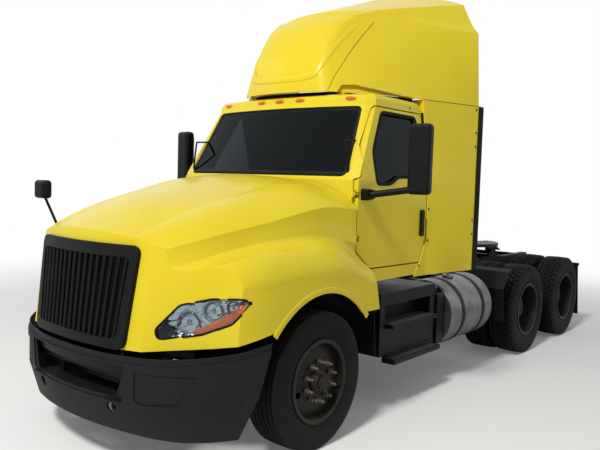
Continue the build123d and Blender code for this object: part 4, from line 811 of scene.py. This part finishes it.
# %% Foam pads
def pad(centre, half, frame3, seams=(), across=(), bolster=0.0, nu=41, nv=41):
    """A closed foam pad of half sizes a, b, c. Its skins w = +-c ((1 - u^6)(1 - v^6))^(1/3) meet all round.

    A seam at u = s takes 7 mm exp(-((u - s) a / 9 mm)^2) off the upper skin; bolster raises its sides."""
    a, b, c = half
    u, v = np.sin(np.linspace(-pi / 2, pi / 2, nu))[:, None], np.sin(np.linspace(-pi / 2, pi / 2, nv))[None]
    rim = np.cbrt(np.clip((1 - u ** 6) * (1 - v ** 6), 0, 1))
    top = rim * (c + 0.12 * c * (1 - u ** 2) * (1 - v ** 2)
                 + bolster * np.clip((np.abs(u) - 0.55) / 0.25, 0, 1))
    for s in seams:
        top -= rim * 0.007 * np.exp(-((u - s) * a / 0.009) ** 2)
    for s in across:
        top -= rim * 0.007 * np.exp(-((v - s) * b / 0.009) ** 2)
    x, y = a * u * (1 - 0.03 * (1 - v ** 2)), b * v * (1 - 0.02 * (1 - u ** 2))
    skins = [xyz(x, y, w) for w in (top, -rim * c)]
    return np.concatenate([skins[0], skins[1][::-1], skins[0][:1]]) @ frame3 + centre


LEAN = unit((0, 0.050, 0.790))
for side, sx in BOTH:
    mid = sx * 0.490
    tilt = np.array([(-1, 0, 0), LEAN, np.cross((-1, 0, 0), LEAN)])
    cushion = pad((mid, 1.368, 1.482), (0.236, 0.232, 0.056), np.eye(3), (-0.62, 0.62), (-0.25, 0.35), 0.018)
    back = pad((mid, 1.622, 1.800), (0.222, 0.300, 0.058), tilt, (-0.60, 0.60), (-0.45, 0.0, 0.45), 0.020)
    head = pad((mid, 1.640, 2.185), (0.135, 0.098, 0.036), tilt, (), (-0.2,), 0.0, 25, 25)
    for part, grid in (("cushion", cushion), ("back", back), ("head", head)):
        made = piece(f"seat_{part}_{side}", "chassis", "seat_fabric", grid, wrap=(False, False),
                     stands_for=["seats"])
    rise = np.linspace(0, 1, 61)
    fold = 1 + 0.05 * np.cos(rise * 2 * pi * 7)
    rings = oval(0.165, 0.175, 40, 0.4)[None] * fold[:, None, None]
    heights = np.broadcast_to((1.192 + 0.238 * rise)[:, None, None], (61, 40, 1))
    wall = np.concatenate([rings + (mid, 1.370), heights], -1)
    ends = [np.broadcast_to(wall[k].mean(0), (1, 40, 3)) for k in (0, -1)]
    piece(f"seat_bellows_{side}", "chassis", "edge_rubber", np.concatenate([ends[0], wall, ends[1]]),
          sharp=60)
print("seats", grid.shape)

# %% Steering wheel boss and instruments
boss = lathe([(0.018, 0), (0.017, 0.030), (0.012, 0.062), (0.002, 0.080), (-0.018, 0.082), (-0.020, 0)],
             (0.480, 1.016, 1.826), (0, 180, 115), 48)
piece("steering_wheel_boss", "chassis", "cab_trim", boss)
hood_line = curve([(0.24, 0.835, 1.925), (0.30, 0.838, 1.968), (0.48, 0.840, 1.985), (0.66, 0.838, 1.968),
                   (0.72, 0.835, 1.925)], 40)
piece("instrument_hood", "chassis", "cab_trim", sweep(hood_line, oval(0.070, 0.007, 16, 0.6), (0, 0.02, 1)))
print("boss", boss.shape)

# %% [markdown]
# ## Steps, mirrors and caps
# Treads are pressed round buttons that grip a boot. Each door mirror has a flat glass over a small convex
# one.

# %% Treads
BUTTON = [(0.0, 0), (0.0, 0.0125), (0.0025, 0.0115), (0.0034, 0.0080), (0.0030, 0.0060), (0.0010, 0.0050),
          (0.0008, 0)]
for side, sx in BOTH:
    low = np.stack(np.meshgrid(sx * np.array([1.055, 1.095]), np.linspace(1.13, 1.87, 22), [0.4403]),
                   -1).reshape(-1, 3)
    high = np.stack(np.meshgrid(sx * np.array([0.925, 0.975, 1.025, 1.072]), np.linspace(1.13, 1.85, 20),
                                [0.7353]), -1).reshape(-1, 3)
    spots = np.concatenate([low, high])
    buttons = np.stack([lathe(BUTTON, spot, (0, 0, 1), 12, (1, 0, 0)) for spot in spots])
    piece(f"step_buttons_{side}", "chassis", "nut_steel", buttons, sharp=30)
print("buttons", buttons.shape)

# %% Mirror glass
MIRROR_MID, MIRROR_TURN = np.array((1.400, 0.915, 2.143)), radians(8)
for side, sx in BOTH:
    c, s = cos(MIRROR_TURN), sx * sin(MIRROR_TURN)
    axes3 = np.array([(c, s, 0), (0, 0, 1), (-s, c, 0)])
    centre = (sx, 1, 1) * MIRROR_MID
    flat_glass = pebble(centre + (0, 0, 0.075) + axes3[2] * 0.0535, (0.076, 0.178, 0.0022), axes3, power=0.25,
                        nu=9, nv=48)
    domed = pebble(centre + (0, 0, -0.190) + axes3[2] * 0.0535, (0.076, 0.064, 0.0050), axes3, power=0.45,
                   nu=15, nv=48)
    piece(f"mirror_glass_{side}", f"door_{side}", "mirror_silver", flat_glass, sharp=60)
    piece(f"mirror_convex_{side}", f"door_{side}", "mirror_silver", domed, sharp=60)
print("mirror glass", domed.shape)

# %% Caps and side lamps
CAP_RIBS = 24
turned_cap = lathe([(0, 0), (0, 0.050), (0.004, 0.052), (0.026, 0.052), (0.031, 0.048), (0.034, 0.040),
                    (0.034, 0.012), (0.038, 0.010), (0.038, 0)], (0, 0, 0), (0, 0, 1), 96, (1, 0, 0))
angle = np.arctan2(turned_cap[..., 1], turned_cap[..., 0])
turned_cap[..., :2] *= 1 + 0.02 * np.cos(CAP_RIBS * angle)[..., None]
piece("fluid_cap", "chassis", "cap_blue", turned_cap + (0.960, 2.030, 0.9503), sharp=50)
FILLER = [(0, 0), (0, 0.058), (0.010, 0.060), (0.020, 0.058), (0.024, 0.050), (0.024, 0.022), (0.034, 0.018),
          (0.034, 0)]
for side, sx in BOTH:
    spot, up = lay(np.array([(sx * 0.86, 2.54, 1.6)]), (0, 0, -1), ["fuel_tanks"], 0.0)
    piece(f"filler_cap_{side}", "chassis", "tank_aluminium", lathe(FILLER, spot[0], up[0], 60, (0, 1, 0)),
          sharp=35)
print("caps", turned_cap.shape)

# %% [markdown]
# ## Closing strips and soft lips
# Rubber strips close the slots between cab, extenders and fairing. A dark moulded baffle under the radiator
# keeps the air in its duct and also stands in for the shade behind the bumper's opening, as painted shade; a
# sill ends the grille's bars, and a soft lip frames the shallow recess of the fairing's nose.

# %% Strips
CAB_BACK = 1.742
for side, sx in BOTH:
    height = np.linspace(1.14, 2.715, 50)
    strip_x = np.interp(height, [1.14, 1.965, 2.7257], [1.004, 1.004, 0.914])
    strip_line = np.stack([sx * strip_x, np.full(50, CAB_BACK), height], -1)
    piece(f"cab_edge_seal_{side}", "chassis", "edge_rubber",
          sweep(strip_line, oval(0.0275, 0.005, 12), (0, 1, 0)))
    roof_line = np.stack([sx * np.linspace(0.60, 0.915, 16), np.full(16, CAB_BACK), np.full(16, 2.668)], -1)
    piece(f"roof_edge_seal_{side}", "chassis", "edge_rubber",
          sweep(roof_line, oval(0.052, 0.005, 12), (0, 1, 0)))
print("strips", strip_line.shape)

# %% Baffle and sill
# painted shade as well as a baffle: a near-black sheet closes the bright view behind the bumper's opening
baffle_x, baffle_z = np.meshgrid(np.linspace(-0.60, 0.60, 41), np.linspace(0.35, 0.775, 15))
baffle_y = -0.975 + 0.003 * np.cos(baffle_x * 2 * pi / 0.10)
sheet_piece("radiator_baffle_and_shade", "chassis", np.stack([baffle_x, baffle_y, baffle_z], -1), (0, 0.004, 0))
sill_x = np.linspace(-0.47, 0.47, 40)
sill = np.stack([sill_x, -1.2570 + 0.0819 * (sill_x / 0.64) ** 2, np.full(40, 0.884)], -1)
piece("grille_sill", "hood", "black_trim", sweep(sill, oval(0.016, 0.004, 12), (0, -1, 0)))
print("baffle", baffle_y.shape)

# %% Nose lip and side lamps
LIP = [(-0.50, 3.36), (-0.44, 3.10), (-0.385, 2.93), (-0.30, 2.862), (0, 2.850), (0.30, 2.862), (0.385, 2.93),
       (0.44, 3.10), (0.50, 3.36)]
path = curve(LIP, 120)
start = np.stack([path[:, 0], np.full(120, 0.2), path[:, 1]], -1)
lip_line, lip_up = lay(start, (0, 1, 0), ["roof_fairing"], 0.0)
fade = np.sin(np.linspace(0, pi, 120))[:, None, None] ** 0.5
lip_section = oval(0.034, 0.0075, 16, 1.0)[None] * (0.25 + 0.75 * fade)
piece("nose_lip", "chassis", "fairing_paint", sweep(lip_line, lip_section, lip_up), sharp=60)
for side, sx in BOTH:
    spot, up = on_side(np.array([(0.800, 1.200)]), sx, ["cab_shell", "hood"], 0.004)
    axes3 = np.array([(0, 1, 0), (0, 0, 1), (sx, 0, 0)])
    piece(f"side_marker_{side}", "chassis", "lamp_amber",
          pebble(spot[0], (0.032, 0.018, 0.010), axes3, power=0.6, nu=13, nv=32))
print("lip", lip_line.shape)

# %% [markdown]
# ## Camera
# A lens a little wider than normal, at eye height off the front left corner, tipped slightly down and rolled
# a little.

# %% Place the camera
EYE = (4.026, -6.077, 1.945)
YAW, PITCH, ROLL = radians(39.17), radians(3.82), radians(1.7)
ahead = np.array([-sin(YAW) * cos(PITCH), cos(YAW) * cos(PITCH), -sin(PITCH)])
level = np.array([cos(YAW), sin(YAW), 0.0])
rise = np.cross(level, ahead)
axes = np.column_stack([level * cos(ROLL) + rise * sin(ROLL), rise * cos(ROLL) - level * sin(ROLL), -ahead])
camera = bpy.data.objects.new("camera", bpy.data.cameras.new("camera"))
bpy.context.scene.collection.objects.link(camera)
pose = np.eye(4)
pose[:3, :3], pose[:3, 3] = axes, EYE
camera.matrix_world = Matrix(pose.tolist())
camera.data.sensor_width, camera.data.lens = 36.0, 39.92
camera.data.shift_x, camera.data.shift_y = -0.005, 0.0007
camera.data.clip_end = 200.0
bpy.context.scene.camera = camera
print("camera at", EYE)

# %% [markdown]
# ## Floor, sky and lamps
# A pale floor catches the shadow. The sky is white to the eye and to gloss, and softer as a light, so that
# colours come out about as they are written. One high lamp from the front left gives form, and a weak one
# fills the far side.

# %% Floor
def floor_finish():
    """Pale matt floor, a little brighter to the eye than its light alone makes it."""
    material, tree = blank("pale_studio_floor")
    tree.nodes.remove(tree.nodes["Principled BSDF"])
    matt = add(tree, "BsdfDiffuse", {"Color": linear("#F7F7F7")})
    glow = add(tree, "Emission", {"Color": linear("#FFFFFF"), "Strength": 1.0})
    path = add(tree, "LightPath")
    place = add(tree, "TexCoord")
    run = add(tree, "VectorMath", {0: place.outputs["Object"]}, operation="LENGTH")
    far = add(tree, "MapRange", {"Value": run.outputs["Value"], "From Min": 4.0, "From Max": 11.0,
                                 "To Min": 0.10, "To Max": 1.0}, interpolation_type="SMOOTHSTEP")
    share = add(tree, "Math", {0: path.outputs["Is Camera Ray"], 1: far.outputs["Result"]},
                operation="MULTIPLY")
    mixed = add(tree, "MixShader", {0: share.outputs[0], 1: matt.outputs["BSDF"],
                                    2: glow.outputs["Emission"]})
    tree.links.new(mixed.outputs["Shader"], tree.nodes["Material Output"].inputs["Surface"])
    return material


FLOOR_HALF = 60.0
floor_mesh = bpy.data.meshes.new("floor")
floor_mesh.from_pydata([(x * FLOOR_HALF, y * FLOOR_HALF, 0.0)
                        for x, y in ((-1, -1), (1, -1), (1, 1), (-1, 1))], [], [(0, 1, 2, 3)])
floor = bpy.data.objects.new("floor", floor_mesh)
floor_mesh.materials.append(floor_finish())
bpy.context.scene.collection.objects.link(floor)
print("floor", 2 * FLOOR_HALF, "m square")

# %% Sky and lamps
world = bpy.data.worlds.new("studio_sky")
bpy.context.scene.world = world
world.use_nodes = True
sky = world.node_tree
seen = add(sky, "LightPath")
gloss_or_eye = add(sky, "Math", {0: seen.outputs["Is Camera Ray"], 1: seen.outputs["Is Glossy Ray"]},
                   operation="MAXIMUM")
any_seen = add(sky, "Math", {0: gloss_or_eye.outputs[0], 1: seen.outputs["Is Transmission Ray"]},
               operation="MAXIMUM")
soft = sky.nodes["Background"]
soft.inputs["Color"].default_value, soft.inputs["Strength"].default_value = linear("#F4F7FB"), 0.30
white = add(sky, "Background", {"Color": linear("#FFFFFF"), "Strength": 1.0})
both = add(sky, "MixShader", {0: any_seen.outputs[0], 1: soft.outputs["Background"],
                              2: white.outputs["Background"]})
sky.links.new(both.outputs["Shader"], sky.nodes["World Output"].inputs["Surface"])


def lamp(name, place, aim, size, watts, hue):
    """A square soft lamp that faces a point."""
    light = bpy.data.lights.new(name, "AREA")
    light.energy, light.size, light.color = watts, size, linear(hue)[:3]
    holder = bpy.data.objects.new(name, light)
    bpy.context.scene.collection.objects.link(holder)
    back = np.array(place, float) - np.array(aim, float)
    back /= np.linalg.norm(back)
    side = np.cross([0.0, 0.0, 1.0], back)
    side /= np.linalg.norm(side)
    turn = np.eye(4)
    turn[:3, 0], turn[:3, 1], turn[:3, 2], turn[:3, 3] = side, np.cross(back, side), back, place
    holder.matrix_world = Matrix(turn.tolist())
    return holder


lamp("key_lamp", (2.8, -11.5, 12.0), (0, -1.0, 1.2), 2.2, 1750, "#FFFDF8")
lamp("fill_lamp", (-9.0, -6.0, 6.0), (0, 0, 1.5), 6.0, 100, "#F4F8FF")
bpy.context.scene.view_settings.view_transform = "Standard"
print("two lamps and a sky")
